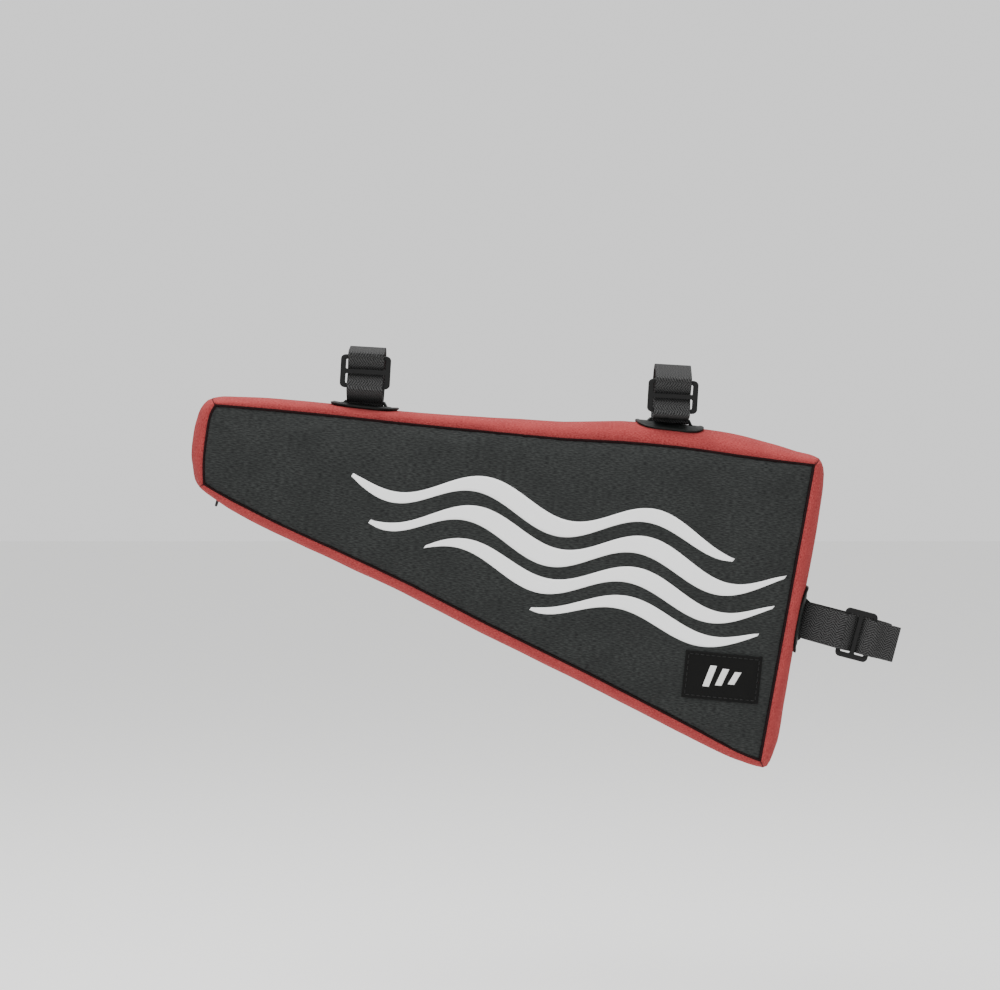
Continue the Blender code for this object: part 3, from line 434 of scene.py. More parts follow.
def add(tree, kind, inputs=(), **settings):
    """Add a node with its settings; inputs maps a socket to a value or to another's output."""
    made = tree.nodes.new(kind)
    for name, value in settings.items():
        setattr(made, name, value)
    for socket, value in dict(inputs).items():
        if isinstance(value, bpy.types.NodeSocket):
            tree.links.new(value, made.inputs[socket])
        else:
            made.inputs[socket].default_value = value
    return made


def maths(tree, operation, *values):
    """Result of a maths node; each value is a socket or a number."""
    return add(tree, "ShaderNodeMath", enumerate(values), operation=operation).outputs[0]


Finish = namedtuple("Finish", "material tree shader")


def new_finish(name, roughness, specular):
    """A material with its node tree and its shader."""
    material = bpy.data.materials.new(name)
    material.use_nodes = True
    shader = material.node_tree.nodes["Principled BSDF"]
    shader.inputs["Roughness"].default_value = roughness
    shader.inputs["Specular IOR Level"].default_value = specular
    return Finish(material, material.node_tree, shader)


def streaks(tree, place, length, width, detail=2.0):
    """Noise drawn out along the first coordinate: length by width, in metres."""
    mapping = add(tree, "ShaderNodeMapping", {"Vector": place, "Scale": (1 / length, 1 / width, 1)})
    inputs = {"Vector": mapping.outputs[0], "Scale": 1.0, "Detail": detail}
    return add(tree, "ShaderNodeTexNoise", inputs).outputs["Fac"]


def blend(tree, amount, first, second, low=0.3, high=0.7):
    """Colour between two, as amount goes from low to high."""
    share = add(tree, "ShaderNodeMapRange", {"Value": amount, "From Min": low, "From Max": high})
    inputs = {"Factor": share.outputs[0], 6: first, 7: second}
    return add(tree, "ShaderNodeMix", inputs, data_type="RGBA").outputs[2]


def weave_height(tree, place, pitch_along, pitch_across):
    """Height of a plain weave: threads that cross with the given spacings."""
    split = add(tree, "ShaderNodeSeparateXYZ", {0: place})
    waves = []
    for axis, pitch in enumerate((pitch_along, pitch_across)):
        turn = maths(tree, "MULTIPLY", split.outputs[axis], math.tau / pitch)
        waves.append(maths(tree, "SINE", turn))
    return maths(tree, "MULTIPLY", *waves)


def dress(finish, colour, height, depth):
    """Give a finish its colour and a bump of a real depth; returns its material."""
    material, tree, shader = finish
    tree.links.new(colour, shader.inputs["Base Color"])
    bump = add(tree, "ShaderNodeBump", {"Strength": 1.0, "Height": height, "Distance": depth})
    tree.links.new(bump.outputs[0], shader.inputs["Normal"])
    return material


def heather(name, dark, light, shade, yarn, mottle):
    """Coated polyester woven from two-tone yarn: short flecks along the yarn, matt.

    The real yarn, about 0.3 mm thick, is too fine to show, so its flecks are drawn coarser.
    """
    finish = new_finish(name, roughness=0.92, specular=0.1)
    tree = finish.tree
    place = add(tree, "ShaderNodeTexCoord").outputs["UV"]
    flecks = streaks(tree, place, *yarn)
    cloth = blend(tree, flecks, linear(dark), linear(light), low=0.34, high=0.66)
    patches = streaks(tree, place, mottle, mottle * 0.7, detail=3.0)
    mixed = blend(tree, patches, linear(shade), cloth, low=-0.55, high=0.62)
    woven = weave_height(tree, place, 1.0 * MM, 0.8 * MM)
    weave_share = 0.35
    rough = maths(tree, "MULTIPLY_ADD", woven, weave_share, flecks)
    return dress(finish, mixed, rough, depth=0.09 * MM)


def webbing(name, dark, light, pitch):
    """Woven nylon pile webbing: matt black zigzag ribs about a millimetre and a half apart."""
    finish = new_finish(name, roughness=0.9, specular=0.12)
    tree = finish.tree
    place = add(tree, "ShaderNodeTexCoord").outputs["UV"]
    split = add(tree, "ShaderNodeSeparateXYZ", {0: place})
    stroke, slope, pile, rib_share = 2.2 * pitch, 0.8, 0.7 * MM, 0.22
    fold = maths(tree, "PINGPONG", split.outputs[1], stroke)
    lean = maths(tree, "MULTIPLY_ADD", fold, slope, split.outputs[0])
    ribs = maths(tree, "SINE", maths(tree, "MULTIPLY", lean, math.tau / pitch))
    height = maths(tree, "MULTIPLY_ADD", ribs, rib_share, streaks(tree, place, pile, pile))
    colour = blend(tree, height, linear(dark), linear(light), low=0.25, high=0.85)
    return dress(finish, colour, height, depth=0.22 * MM)


def moulded(name, dark, light, roughness, grain, depth):
    """Injection-moulded or pressed surface with a fine even grain."""
    finish = new_finish(name, roughness, specular=0.25)
    tree = finish.tree
    place = add(tree, "ShaderNodeTexCoord").outputs["Object"]
    scaled = add(tree, "ShaderNodeMapping", {"Vector": place, "Scale": (1 / grain,) * 3})
    specks = add(tree, "ShaderNodeTexNoise", {"Vector": scaled.outputs[0], "Scale": 1.0})
    colour = blend(tree, specks.outputs["Fac"], linear(dark), linear(light))
    return dress(finish, colour, specks.outputs["Fac"], depth)


def fine_weave(name, dark, light, pitch, roughness=0.75):
    """Fine woven tape or label: threads cross at the given pitch."""
    finish = new_finish(name, roughness, specular=0.15)
    tree = finish.tree
    place = add(tree, "ShaderNodeTexCoord").outputs["UV"]
    woven = weave_height(tree, place, pitch, pitch)
    colour = blend(tree, woven, linear(dark), linear(light), low=-1.0, high=1.0)
    return dress(finish, colour, woven, depth=0.05 * MM)


# Rim: brick red with short darker and paler flecks, matt
RED_CLOTH = heather(
    "Red heather polyester", "80292B", "A64A48", "6C2427", (1.2 * MM, 0.6 * MM), 14 * MM
)
# Sides: dark grey with longer broken streaks along the top seam, matt
CHARCOAL_CLOTH = heather(
    "Charcoal heather polyester", "202121", "373938", "1E1F1F", (2.6 * MM, 0.5 * MM), 24 * MM
)
# Straps: black with greyer zigzag ribs
BLACK_WEBBING = webbing("Black nylon pile webbing", "121212", "4C4C4C", 1.5 * MM)
# Slides and zip slider: smooth deep black with a soft shine
BLACK_ACETAL = moulded("Black moulded acetal", "050505", "0B0B0B", 0.5, 0.9 * MM, 0.02 * MM)
# Strap patches: dull black with a fine grain
PATCH_RUBBER = moulded("Black pressed rubber", "101211", "1A1D1C", 0.6, 0.7 * MM, 0.05 * MM)
# Label: flat black cloth, and its bars in off-white thread
LABEL_CLOTH = fine_weave("Black woven label", "060606", "0E0E0D", 0.8 * MM)
LABEL_THREAD = fine_weave("White label thread", "D8D8D6", "F2F2F0", 0.7 * MM)
# Zip: dull black tape, with slightly shinier teeth that also serve the label's stitches
ZIP_CLOTH = fine_weave("Black polyester zip tape", "121212", "232323", 1.0 * MM)
ZIP_NYLON = moulded("Black nylon zip coil", "101010", "1C1C1C", 0.4, 0.8 * MM, 0.02 * MM)
# Seams: nearly black cord round the sides, a real seam that is also drawn dark and wide as painted
# shade in its groove; dark red thread down the mitres
SEAM_BINDING_AND_SHADE = fine_weave("Dark seam binding with painted groove shade", "17090B", "2A1214", 0.9 * MM, 0.9)
SEAM_THREAD = fine_weave("Dark red sewing thread", "3E1316", "5A1E22", 0.8 * MM, 0.9)
# Hooks on the seat strap: grey dots on the black
HOOK_NYLON = moulded("Grey nylon hooks", "2C2C2C", "444444", 0.5, 0.5 * MM, 0.02 * MM)
# Print: flat bright white
PRINT_INK = fine_weave("White screen print ink", "F2F3F2", "FFFFFF", 0.9 * MM, 0.6)
# Zip pull: dull black, a little paler than the slider
PULL_RUBBER = moulded("Black rubber cord", "141414", "202020", 0.6, 0.6 * MM, 0.04 * MM)


def cloth_grid(columns, rows, place, cut):
    """A sheet of columns by rows faces; place gives its points and cut its flat coordinates."""
    form = bmesh.new()
    layer = form.loops.layers.uv.new("cloth")
    bmesh.ops.create_grid(form, x_segments=columns, y_segments=rows, size=0.5)
    shares = {vert: (vert.co.x + 0.5, vert.co.y + 0.5) for vert in form.verts}
    for face in form.faces:
        for loop in face.loops:
            loop[layer].uv = cut(*shares[loop.vert])
    for vert, (u, v) in shares.items():
        vert.co = place(u, v)
    return form


def linked(name, data):
    """New object of a mesh, curve, light or camera, in the scene."""
    obj = bpy.data.objects.new(name, data)
    bpy.context.scene.collection.objects.link(obj)
    return obj


def piece(name, form, finish, outward=None):
    """Object of a form at the origin, facing outward where it is an open sheet."""
    if outward is None:
        bmesh.ops.recalc_face_normals(form, faces=form.faces)
    else:
        form.normal_update()
        if sum(face.normal.dot(outward(face.calc_center_median())) for face in form.faces) < 0:
            bmesh.ops.reverse_faces(form, faces=form.faces)
    mesh = bpy.data.meshes.new(name)
    form.to_mesh(mesh)
    form.free()
    mesh.materials.append(finish)
    mesh.shade_smooth()
    return linked(name, mesh)


def thicken(obj, thickness, offset=-1.0, rim=0.0, segments=3):
    """Give a sheet its thickness, and a round rim where rim isn't zero."""
    wall = obj.modifiers.new("Wall", "SOLIDIFY")
    wall.thickness = thickness
    wall.offset = offset
    wall.use_even_offset = True
    if rim:
        edge = obj.modifiers.new("Rim", "BEVEL")
        edge.width = rim
        edge.segments = segments
        edge.limit_method = "ANGLE"
        edge.angle_limit = math.radians(50)
    return obj


def soften(form, offset):
    """Take the sharp edges off every small block of a form."""
    bmesh.ops.bevel(
        form, geom=form.edges[:], offset=offset, offset_type="OFFSET", affect="EDGES",
        segments=1, profile=0.5, material=-1,
    )


def lay_flat(form):
    """Flat coordinates (x, z) for a form that is drawn on the near side."""
    layer = form.loops.layers.uv.new("cloth")
    for face in form.faces:
        for loop in face.loops:
            loop[layer].uv = (loop.vert.co.x, loop.vert.co.z)


def cord_piece(name, points, radius, finish, closed=False):
    """Round cord through points, as a mesh."""
    curve = bpy.data.curves.new(name, "CURVE")
    curve.dimensions = "3D"
    curve.bevel_depth = radius
    curve.bevel_resolution = 2
    curve.use_fill_caps = not closed
    spline = curve.splines.new("POLY")
    spline.use_cyclic_u = closed
    spline.points.add(len(points) - 1)
    for point, place in zip(spline.points, points):
        point.co = (*place, 1)
    curve.materials.append(finish)
    drawn = linked(name, curve)
    graph = bpy.context.evaluated_depsgraph_get()
    mesh = bpy.data.meshes.new_from_object(drawn.evaluated_get(graph), depsgraph=graph)
    bpy.data.objects.remove(drawn)
    mesh.shade_smooth()
    return linked(name, mesh)


def pucker(metres, inset, reach, size):
    """Small gathers of sewn cloth that run out from its seam: metres is along the seam."""
    lumps = noise.noise(Vector((metres / PUCKER_LONG, 0.7, 3.1)))
    lumps += 0.5 * noise.noise(Vector((metres / PUCKER_SHORT, 5.3, 1.7)))
    return size * lumps * math.exp(-inset / reach)


def slack(x, z, seed, size):
    """Broad soft waves of slack cloth."""
    place = Vector((x / SLACK_LONG, seed, z / SLACK_HIGH))
    return size * noise.noise(place) + 0.4 * size * noise.noise(place * 2.3)


def settle(obj):
    """Let cloth that is held along its border swell a little, no point past SETTLE_MOST."""
    border = obj.vertex_groups.new(name="seam")
    form = bmesh.new()
    form.from_mesh(obj.data)
    held = [vert.index for vert in form.verts if vert.is_boundary]
    form.free()
    border.add(held, 1.0, "REPLACE")
    before = [vert.co.copy() for vert in obj.data.vertices]
    modifier = obj.modifiers.new("Cloth", "CLOTH")
    for name, value in SETTLE_CLOTH.items():
        setattr(modifier.settings, name, value)
    modifier.settings.effector_weights.gravity = 0
    modifier.point_cache.frame_end = SETTLE_FRAMES
    scene = bpy.context.scene
    for step in range(1, SETTLE_FRAMES + 1):
        scene.frame_set(step)
    graph = bpy.context.evaluated_depsgraph_get()
    after = [vert.co.copy() for vert in obj.evaluated_get(graph).data.vertices]
    obj.modifiers.remove(modifier)
    scene.frame_set(1)
    for vert, old, new in zip(obj.data.vertices, before, after):
        move = new - old
        vert.co = old + move * (SETTLE_MOST / (SETTLE_MOST + move.length))
    obj.vertex_groups.clear()


def eased(share):
    """A share from 0 to 1 with its ends drawn closer together."""
    return 0.5 * share + 0.5 * (1 - math.cos(math.pi * share)) / 2


def make_side(name, side, top_line, foot_line, columns, rows, seed):
    """Padded heather side between two lines across it, given as functions of u."""
    def shares(u, v):
        u, v = eased(u), eased(v)
        return u, top_line(u) + (foot_line(u) - top_line(u)) * v

    def place(u, v):
        u, v = shares(u, v)
        point = side.point(u, v)
        tall = side.height(u)
        # Along each seam, inwards from it, and how far its gathers reach: top, foot, front, rear
        seams = (
            (u * TOP_EDGE, v * tall, 6 * MM),
            (u * TOP_EDGE + 3, (1 - v) * tall, 6 * MM),
            (v * tall + 5, u * TOP_EDGE, 5 * MM),
            (v * tall + 7, (1 - u) * TOP_EDGE, 5 * MM),
        )
        out = slack(point.x, point.z, seed, SIDE_SLACK)
        for metres, inset, reach in seams:
            out += pucker(metres, inset, reach, SIDE_PUCKER)
        border = min(inset for _, inset, _ in seams)
        edge_fade = min(1.0, border / SIDE_FADE)
        out = out * edge_fade - SEAM_DIP * math.exp(-border / SEAM_DIP_REACH)
        point.y += side.sign * out
        return point

    def cut(u, v):
        u, v = shares(u, v)
        flat = side.flat(u, v)
        return (flat.x * math.cos(TOP_SLOPE) - flat.y * math.sin(TOP_SLOPE),
                flat.x * math.sin(TOP_SLOPE) + flat.y * math.cos(TOP_SLOPE))

    form = cloth_grid(columns, rows, place, cut)
    return piece(name, form, CHARCOAL_CLOTH, lambda _: Vector((0, side.sign, 0)))


def into_corner(corner, point):
    """Direction from a place on a mitre to the corner of the seams inside it."""
    inward = Vector((corner.x, 0, corner.y)) - point
    inward.y = 0
    return inward.normalized()


def make_rim(name, edge, node):
    """Red heather strip along one edge, arched from seam to seam and mitred at its corners."""
    girth = BAG_DEPTH + 2 * edge.rise
    normal_within, below_edge, fewest_columns = 0.98, 30 * MM, 24

    def place(along, across):
        side = math.sin(math.pi * (across - 0.5))
        point = edge.strip(along, side)
        normal = edge.surface(along * edge.length, side * BAG_DEPTH / 2 * normal_within)[1]
        metres = along * edge.length
        to_end = min(metres, edge.length - metres)
        end_fade = min(1.0, to_end / RIM_END_FADE)
        seam = (1 - abs(side)) * BAG_DEPTH / 2
        out = pucker(metres + edge.length * 9, seam, RIM_PUCKER_REACH, RIM_PUCKER)
        out += slack(metres, side * BAG_DEPTH, edge.length * 40, RIM_PUCKER)
        out *= 1 + CORNER_GATHER_MORE * math.exp(-to_end / CORNER_GATHER)
        seam_fade = min(1.0, seam / RIM_SEAM_FADE)
        corner = edge.end if along > 0.5 else edge.start
        crease = into_corner(corner, point) * MITRE_DIP * math.exp(-to_end / MITRE_DIP_REACH)
        return point + (normal * out * end_fade + crease) * seam_fade

    def cut(along, across):
        return along * edge.length, across * girth

    columns = max(fewest_columns, round(edge.length / RIM_STEP))
    centre = edge.start + edge.direction * edge.length / 2 - edge.outward * below_edge
    inner = Vector((centre.x, 0, centre.y))
    form = cloth_grid(columns, RIM_ROWS, place, cut)
    strip = piece(name, form, RED_CLOTH, lambda p: p - inner)
    thicken(strip, CLOTH_WALL)
    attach(strip, "root")
    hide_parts(node)


def seam_points(side):
    """Points of the seam line round one side, a millimetre and a half apart."""
    points = []
    for edge in EDGES.values():
        steps = round(edge.length / SEAM_STEP)
        for k in range(steps):
            flat = edge.seam(k / steps, GAP / 2)
            y = side * (BAG_DEPTH / 2 - SEAM_ROLLS_IN * SEAM_ROLL)
            points.append(Vector((flat.x, y, flat.y)))
    return points


def make_seams():
    """Dark sewn seams: one line round each side, whose near-black cord is also painted shade in the
    seam groove, and the mitres where the rim strips meet.
    """
    for name, side in (("near", -1), ("far", 1)):
        # Near-black seam cord: a real seam that also serves as painted shade in the groove
        seam = cord_piece(f"seam_{name}", seam_points(side), SEAM_CORD, SEAM_BINDING_AND_SHADE, closed=True)
        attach(seam, "root")
    loop = list(EDGES.items())
    for (name, edge), (_, after) in zip(loop, loop[1:] + loop[:1]):
        points = []
        for k in range(MITRE_STEPS + 1):
            across = math.sin(math.pi * (k / MITRE_STEPS - 0.5))
            middle = (edge.strip(1, across) + after.strip(0, across)) / 2
            seam_fade = min(1.0, (1 - abs(across)) * BAG_DEPTH / 2 / RIM_SEAM_FADE)
            sunk = MITRE_SUNK + MITRE_DIP * seam_fade
            points.append(middle + into_corner(edge.end, middle) * sunk)
        mitre = cord_piece(f"mitre_{name}", points, MITRE_CORD, SEAM_THREAD)
        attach(mitre, "root")


def make_cloth():
    """The two sides, the rim and its seams; returns the near side for what lies on it."""
    slot_high = ZIP_DROP - ZIP_SLOT / 2
    slot_low = ZIP_DROP + ZIP_SLOT / 2
    # Name, side, top and foot lines, columns, rows, seed of the slack and node
    rows = (
        ("side_near", NEAR, lambda u: 0.0, lambda u: 1.0, 150, 74, 2.0, "side_panel_near"),
        ("side_far_lower", FAR, lambda u: slot_low / FAR.height(u), lambda u: 1.0, 130, 60, 8.0,
         "side_panel_far_lower"),
        ("side_far_upper", FAR, lambda u: 0.0, lambda u: slot_high / FAR.height(u), 130, 12, 11.0,
         "side_panel_far_upper"),
    )
    near = None
    for name, side, top_line, foot_line, columns, down, seed, node in rows:
        panel = make_side(name, side, top_line, foot_line, columns, down, seed)
        if name != "side_far_upper":
            settle(panel)
        near = near or panel
        thicken(panel, PANEL_WALL)
        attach(panel, "root")
        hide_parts(node)
    for name, edge in EDGES.items():
        make_rim(f"rim_{name}", edge, f"gusset_{name}")
    make_seams()
    return near


def smooth_path(points, steps=4):
    """Points of a smooth curve through a path."""
    padded_path = [points[0]] + list(points) + [points[-1]]
    made = []
    for k in range(len(points) - 1):
        a, b, c, d = padded_path[k:k + 4]
        for i in range(steps):
            t = i / steps
            made.append(0.5 * (
                2 * b + (c - a) * t + (2 * a - 5 * b + 4 * c - d) * t * t
                + (3 * b - a - 3 * c + d) * t ** 3
            ))
    made.append(points[-1])
    return made


def make_strap(seat):
    """Webbing ribbon along its path, round at its selvedges."""
    path = smooth_path(strap_path(seat))
    metres = [0.0]
    for before, here in zip(path, path[1:]):
        metres.append(metres[-1] + (here - before).length)
    last = len(path) - 1

    def place(u, v):
        spot = path[round(u * last)]
        return seat.place((v - 0.5) * STRAP_WIDTH, spot.x, seat.tube_level + spot.y)

    def cut(u, v):
        return v * STRAP_WIDTH, metres[round(u * last)]

    form = cloth_grid(last, STRAP_ROWS, place, cut)
    strap = piece(f"webbing_{seat.strap.name}", form, BLACK_WEBBING)
    thicken(strap, STRAP_THICK, offset=0.0, rim=0.4 * MM)
    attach(strap, "root")
    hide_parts(f"strap_{seat.strap.name}")
    return strap


def make_hooks(seat, strap):
    """Rows of small nylon hooks that show on the seat strap beside its patch."""
    graph = bpy.context.evaluated_depsgraph_get()
    tree = BVHTree.FromObject(strap, graph)
    form = bmesh.new()
    rows, columns, row_step, column_step, lowest = 8, 5, 2.3, 2.4, -14.5
    well_outside, radius, flatten = 30 * MM, 0.42 * MM, (1, 0.7, 1, 1)
    for row in range(rows):
        for column in range(columns):
            shift = 0.5 * (row % 2)
            run = (row - (rows - 1) / 2) * row_step * MM
            level = (lowest + column_step * (column + shift)) * MM
            start = seat.place(run, seat.strap.tube_width / 2 + well_outside,
                               seat.tube_level + level)
            hit = tree.ray_cast(start, Vector((0, 1, 0)))[0]
            if hit is None:
                continue
            nub = Matrix.Translation(hit) @ Matrix.Diagonal(flatten)
            bmesh.ops.create_icosphere(form, subdivisions=1, radius=radius, matrix=nub)
    hooks = piece("seat_strap_hooks", form, HOOK_NYLON)
    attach(hooks, "root")


def make_slide(seat):
    """Moulded three-bar slide: a plate with two slots, round corners and soft rims."""
    half_width, half_length = BUCKLE_WIDTH / 2, BUCKLE_LENGTH / 2
    slot_half = STRAP_WIDTH / 2 + BRIDGE_SIDE_ROOM
    across = (-half_width, -slot_half, slot_half, half_width)
    down = (-half_length, BAR - half_length, -BAR / 2, BAR / 2, half_length - BAR, half_length)
    wide, long = len(across) - 1, len(down) - 1
    form = bmesh.new()
    bmesh.ops.create_grid(form, x_segments=wide, y_segments=long, size=0.5)
    for vert in form.verts:
        column, row = round((vert.co.x + 0.5) * wide), round((vert.co.y + 0.5) * long)
        vert.co = (across[column], down[row], 0)
    slots = []
    for face in form.faces:
        middle = face.calc_center_median()
        if abs(middle.x) < slot_half and BAR / 2 < abs(middle.y) < half_length - BAR:
            slots.append(face)
    bmesh.ops.delete(form, geom=slots, context="FACES")
    corners = [
        vert for vert in form.verts
        if abs(vert.co.x) > slot_half + BAR / 4 and abs(vert.co.y) > half_length - BAR / 4
    ]
    bmesh.ops.bevel(
        form, geom=corners, offset=BUCKLE_CORNER * 0.9, offset_type="OFFSET", affect="VERTICES",
        segments=8, profile=0.5, material=-1,
    )
    bmesh.ops.transform(form, matrix=seat.slide_matrix(), verts=form.verts)
    slide = piece(f"slide_{seat.strap.name}", form, BLACK_ACETAL)
    thicken(slide, BUCKLE_THICK, offset=0.0, rim=0.55 * MM)
    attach(slide, "root")
    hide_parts(f"buckle_{seat.strap.name}")


def graded(share, marks):
    """Signed size at a share from 0 to 1, from marks of (steps, size) on each half."""
    total = sum(steps for steps, _ in marks)
    index = abs(share - 0.5) * 2 * total
    counts, sizes = [0.0], [0.0]
    for steps, size in marks:
        counts.append(counts[-1] + steps)
        sizes.append(size)
    return math.copysign(float(np.interp(index, counts, sizes)), share - 0.5)


def make_patch(seat):
    """Pressed rubber patch with two slots, a bridge over the strap and a raised border."""
    half_run, half_span = PATCH_LENGTH / 2, PATCH_SPAN / 2
    bridge_run = STRAP_WIDTH / 2 + BRIDGE_SIDE_ROOM
    slot_run = bridge_run + BRIDGE_RAMP
    slot_inner, slot_outer = BRIDGE_SPAN / 2, BRIDGE_SPAN / 2 + SLOT_WIDTH
    run_marks = ((10, bridge_run), (2, slot_run), (9, half_run))
    side_marks = ((8, slot_inner), (4, slot_outer), (14, half_span))
    border_high, border_at, slot_rim_high, slot_rim_at = 0.35 * MM, 1.1 * MM, 0.3 * MM, 1.0 * MM
    ridge_width, slot_rim_run = 0.7 * MM, slot_run + 2 * MM

    def corner_share(side):
        over = abs(side) - (half_span - PATCH_CORNER)
        if over <= 0:
            return 1.0
        drop = PATCH_CORNER - math.sqrt(max(PATCH_CORNER ** 2 - over ** 2, 0))
        return 1 - drop / half_run

    def ridge(distance, middle):
        return math.exp(-((distance - middle) / ridge_width) ** 2)

    def place(u, v):
        run, side = graded(u, run_marks), graded(v, side_marks)
        reach = run * corner_share(side)
        point, normal = seat.edge.surface(seat.strap.at + reach, -side)
        to_border = min((half_run - abs(run)) * corner_share(side), half_span - abs(side))
        raised = border_high * ridge(to_border, border_at)
        outside = max(abs(side) - slot_outer, abs(run) - slot_run)
        if abs(side) >= slot_outer and abs(run) < slot_rim_run:
            raised += slot_rim_high * ridge(outside, slot_rim_at)
        base = point + normal * (GAP + PATCH_THICK + raised)
        if abs(side) > slot_inner + 0.01 * MM:
            return base
        lift = min(1.0, max(0.0, (slot_run - abs(run)) / BRIDGE_RAMP))
        lift = lift * lift * (3 - 2 * lift)
        bridge = seat.place(run, side, seat.bridge_level + PATCH_THICK)
        return base.lerp(bridge, lift)

    def cut(u, v):
        return graded(u, run_marks), graded(v, side_marks)

    columns = 2 * sum(steps for steps, _ in run_marks)
    rows = 2 * sum(steps for steps, _ in side_marks)
    form = cloth_grid(columns, rows, place, cut)
    layer = form.loops.layers.uv["cloth"]
    slots = []
    for face in form.faces:
        runs = [loop[layer].uv.x for loop in face.loops]
        sides = [loop[layer].uv.y for loop in face.loops]
        run, side = sum(runs) / 4, sum(sides) / 4
        if abs(run) < slot_run and slot_inner < abs(side) < slot_outer:
            slots.append(face)
    bmesh.ops.delete(form, geom=slots, context="FACES")
    up = Vector((seat.up.x, 0, seat.up.y))
    patch = piece(f"strap_patch_{seat.strap.name}", form, PATCH_RUBBER, lambda _: up)
    thicken(patch, PATCH_THICK, rim=0.3 * MM, segments=2)
    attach(patch, "root")
    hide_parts(f"patch_{seat.strap.name}")


def zip_share(share):
    """Share along the far side at a share of the zip's length."""
    first = ZIP_END_ROOM / TOP_EDGE
    return first + (1 - 2 * first) * share


def make_zip():
    """Zip on the far side: two woven tapes that rise to a closed nylon coil."""
    marks = (0.2 * MM, ZIP_CHAIN / 2 + CHAIN_ROOM, ZIP_SLOT / 2, ZIP_TAPE / 2)
    deeps = (TAPE_RAISED, TAPE_RAISED, TAPE_SUNK, TAPE_SUNK)
    out = Vector((0, 1, 0))
    for name, side in (("upper", -1), ("lower", 1)):
        def across_of(v, side=side):
            return side * float(np.interp(v * 3, (0, 1, 2, 3), marks))

        def place(u, v, side=side):
            share, across = zip_share(u), across_of(v)
            deep = float(np.interp(abs(across), marks, deeps))
            return FAR.point(share, (ZIP_DROP + across) / FAR.height(share), deep)

        def cut(u, v):
            return u * TOP_EDGE, across_of(v)

        form = cloth_grid(120, 9, place, cut)
        tape = piece(f"zip_cloth_{name}", form, ZIP_CLOTH, lambda _: out)
        thicken(tape, ZIP_CLOTH_THICK)
        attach(tape, "root")
    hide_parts("zip_tape")

    form = bmesh.new()
    count = int((TOP_EDGE - 2 * ZIP_END_ROOM) / TOOTH_PITCH)
    deep, step = ZIP_CHAIN_SUNK + TOOTH_SUNK, 0.004
    size = Matrix.Diagonal((TOOTH_WIDE, ZIP_CHAIN - CHAIN_ROOM, TOOTH_HIGH, 1))
    for k in range(count):
        share = zip_share((k + 0.5) / count)
        middle = ZIP_DROP / FAR.height(share)
        here = FAR.point(share, middle, deep)
        along = (FAR.point(share + step, middle, deep) - here).normalized()
        down = along.cross(out).normalized()
        tilt = Matrix.Rotation(TOOTH_TILT if k % 2 else -TOOTH_TILT, 4, "Z")
        turned = axes_matrix(along, down, down.cross(along), here) @ tilt
        bmesh.ops.create_cube(form, size=1.0, matrix=turned @ size)
    soften(form, TOOTH_EDGE)
    coil = piece("zip_coil", form, ZIP_NYLON)
    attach(coil, "root")


def near_tree(near):
    """Search tree of the near side's outer face."""
    form = bmesh.new()
    form.from_mesh(near.data)
    tree = BVHTree.FromBMesh(form)
    form.free()
    return tree


def on_near(tree, flat, off):
    """Point off the near side's outer face, at a place (x, z)."""
    well_outside = -0.2
    hit = tree.ray_cast(Vector((flat.x, well_outside, flat.y)), Vector((0, 1, 0)))[0]
    y = hit.y if hit else -BAG_DEPTH / 2
    return Vector((flat.x, y - off, flat.y))


def along_side(along, down):
    """Place (x, z) on the near side, from its front top corner, in millimetres."""
    forward = Vector((math.cos(TOP_SLOPE), -math.sin(TOP_SLOPE)))
    return FRONT_TOP + forward * along * MM - turned_left(forward) * down * MM


def add_wave(form, tree, wave):
    """One flowing wave drawn with a slanting flat brush, laid on the near side."""
    nib = Vector((math.cos(NIB_ANGLE), -math.sin(NIB_ANGLE))) * wave.width
    grid = bmesh.ops.create_grid(form, x_segments=WAVE_STEPS, y_segments=NIB_STEPS, size=0.5)
    for vert in grid["verts"]:
        t, v = vert.co.x + 0.5, vert.co.y
        reach = (wave.end - wave.start) * t
        past = wave.start + reach - WAVE_ORIGIN
        turn = math.tau * past / WAVE_LENGTH + wave.phase
        down = wave.down + WAVE_FALL * past + wave.swing * math.sin(turn)
        body = max(NIB_TIP, math.sin(math.pi * t)) ** NIB_FULLNESS
        place = Vector((wave.start + reach, down)) + nib * v * body
        vert.co = on_near(tree, along_side(place.x, place.y), INK_OFF)


def make_print(tree):
    """Plain white print on the near side: flowing brush waves, one under another."""
    form = bmesh.new()
    for wave in WAVES:
        add_wave(form, tree, wave)
    lay_flat(form)
    ink = piece("side_print", form, PRINT_INK, lambda _: Vector((0, -1, 0)))
    thicken(ink, INK_THICK)
    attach(ink, "root")


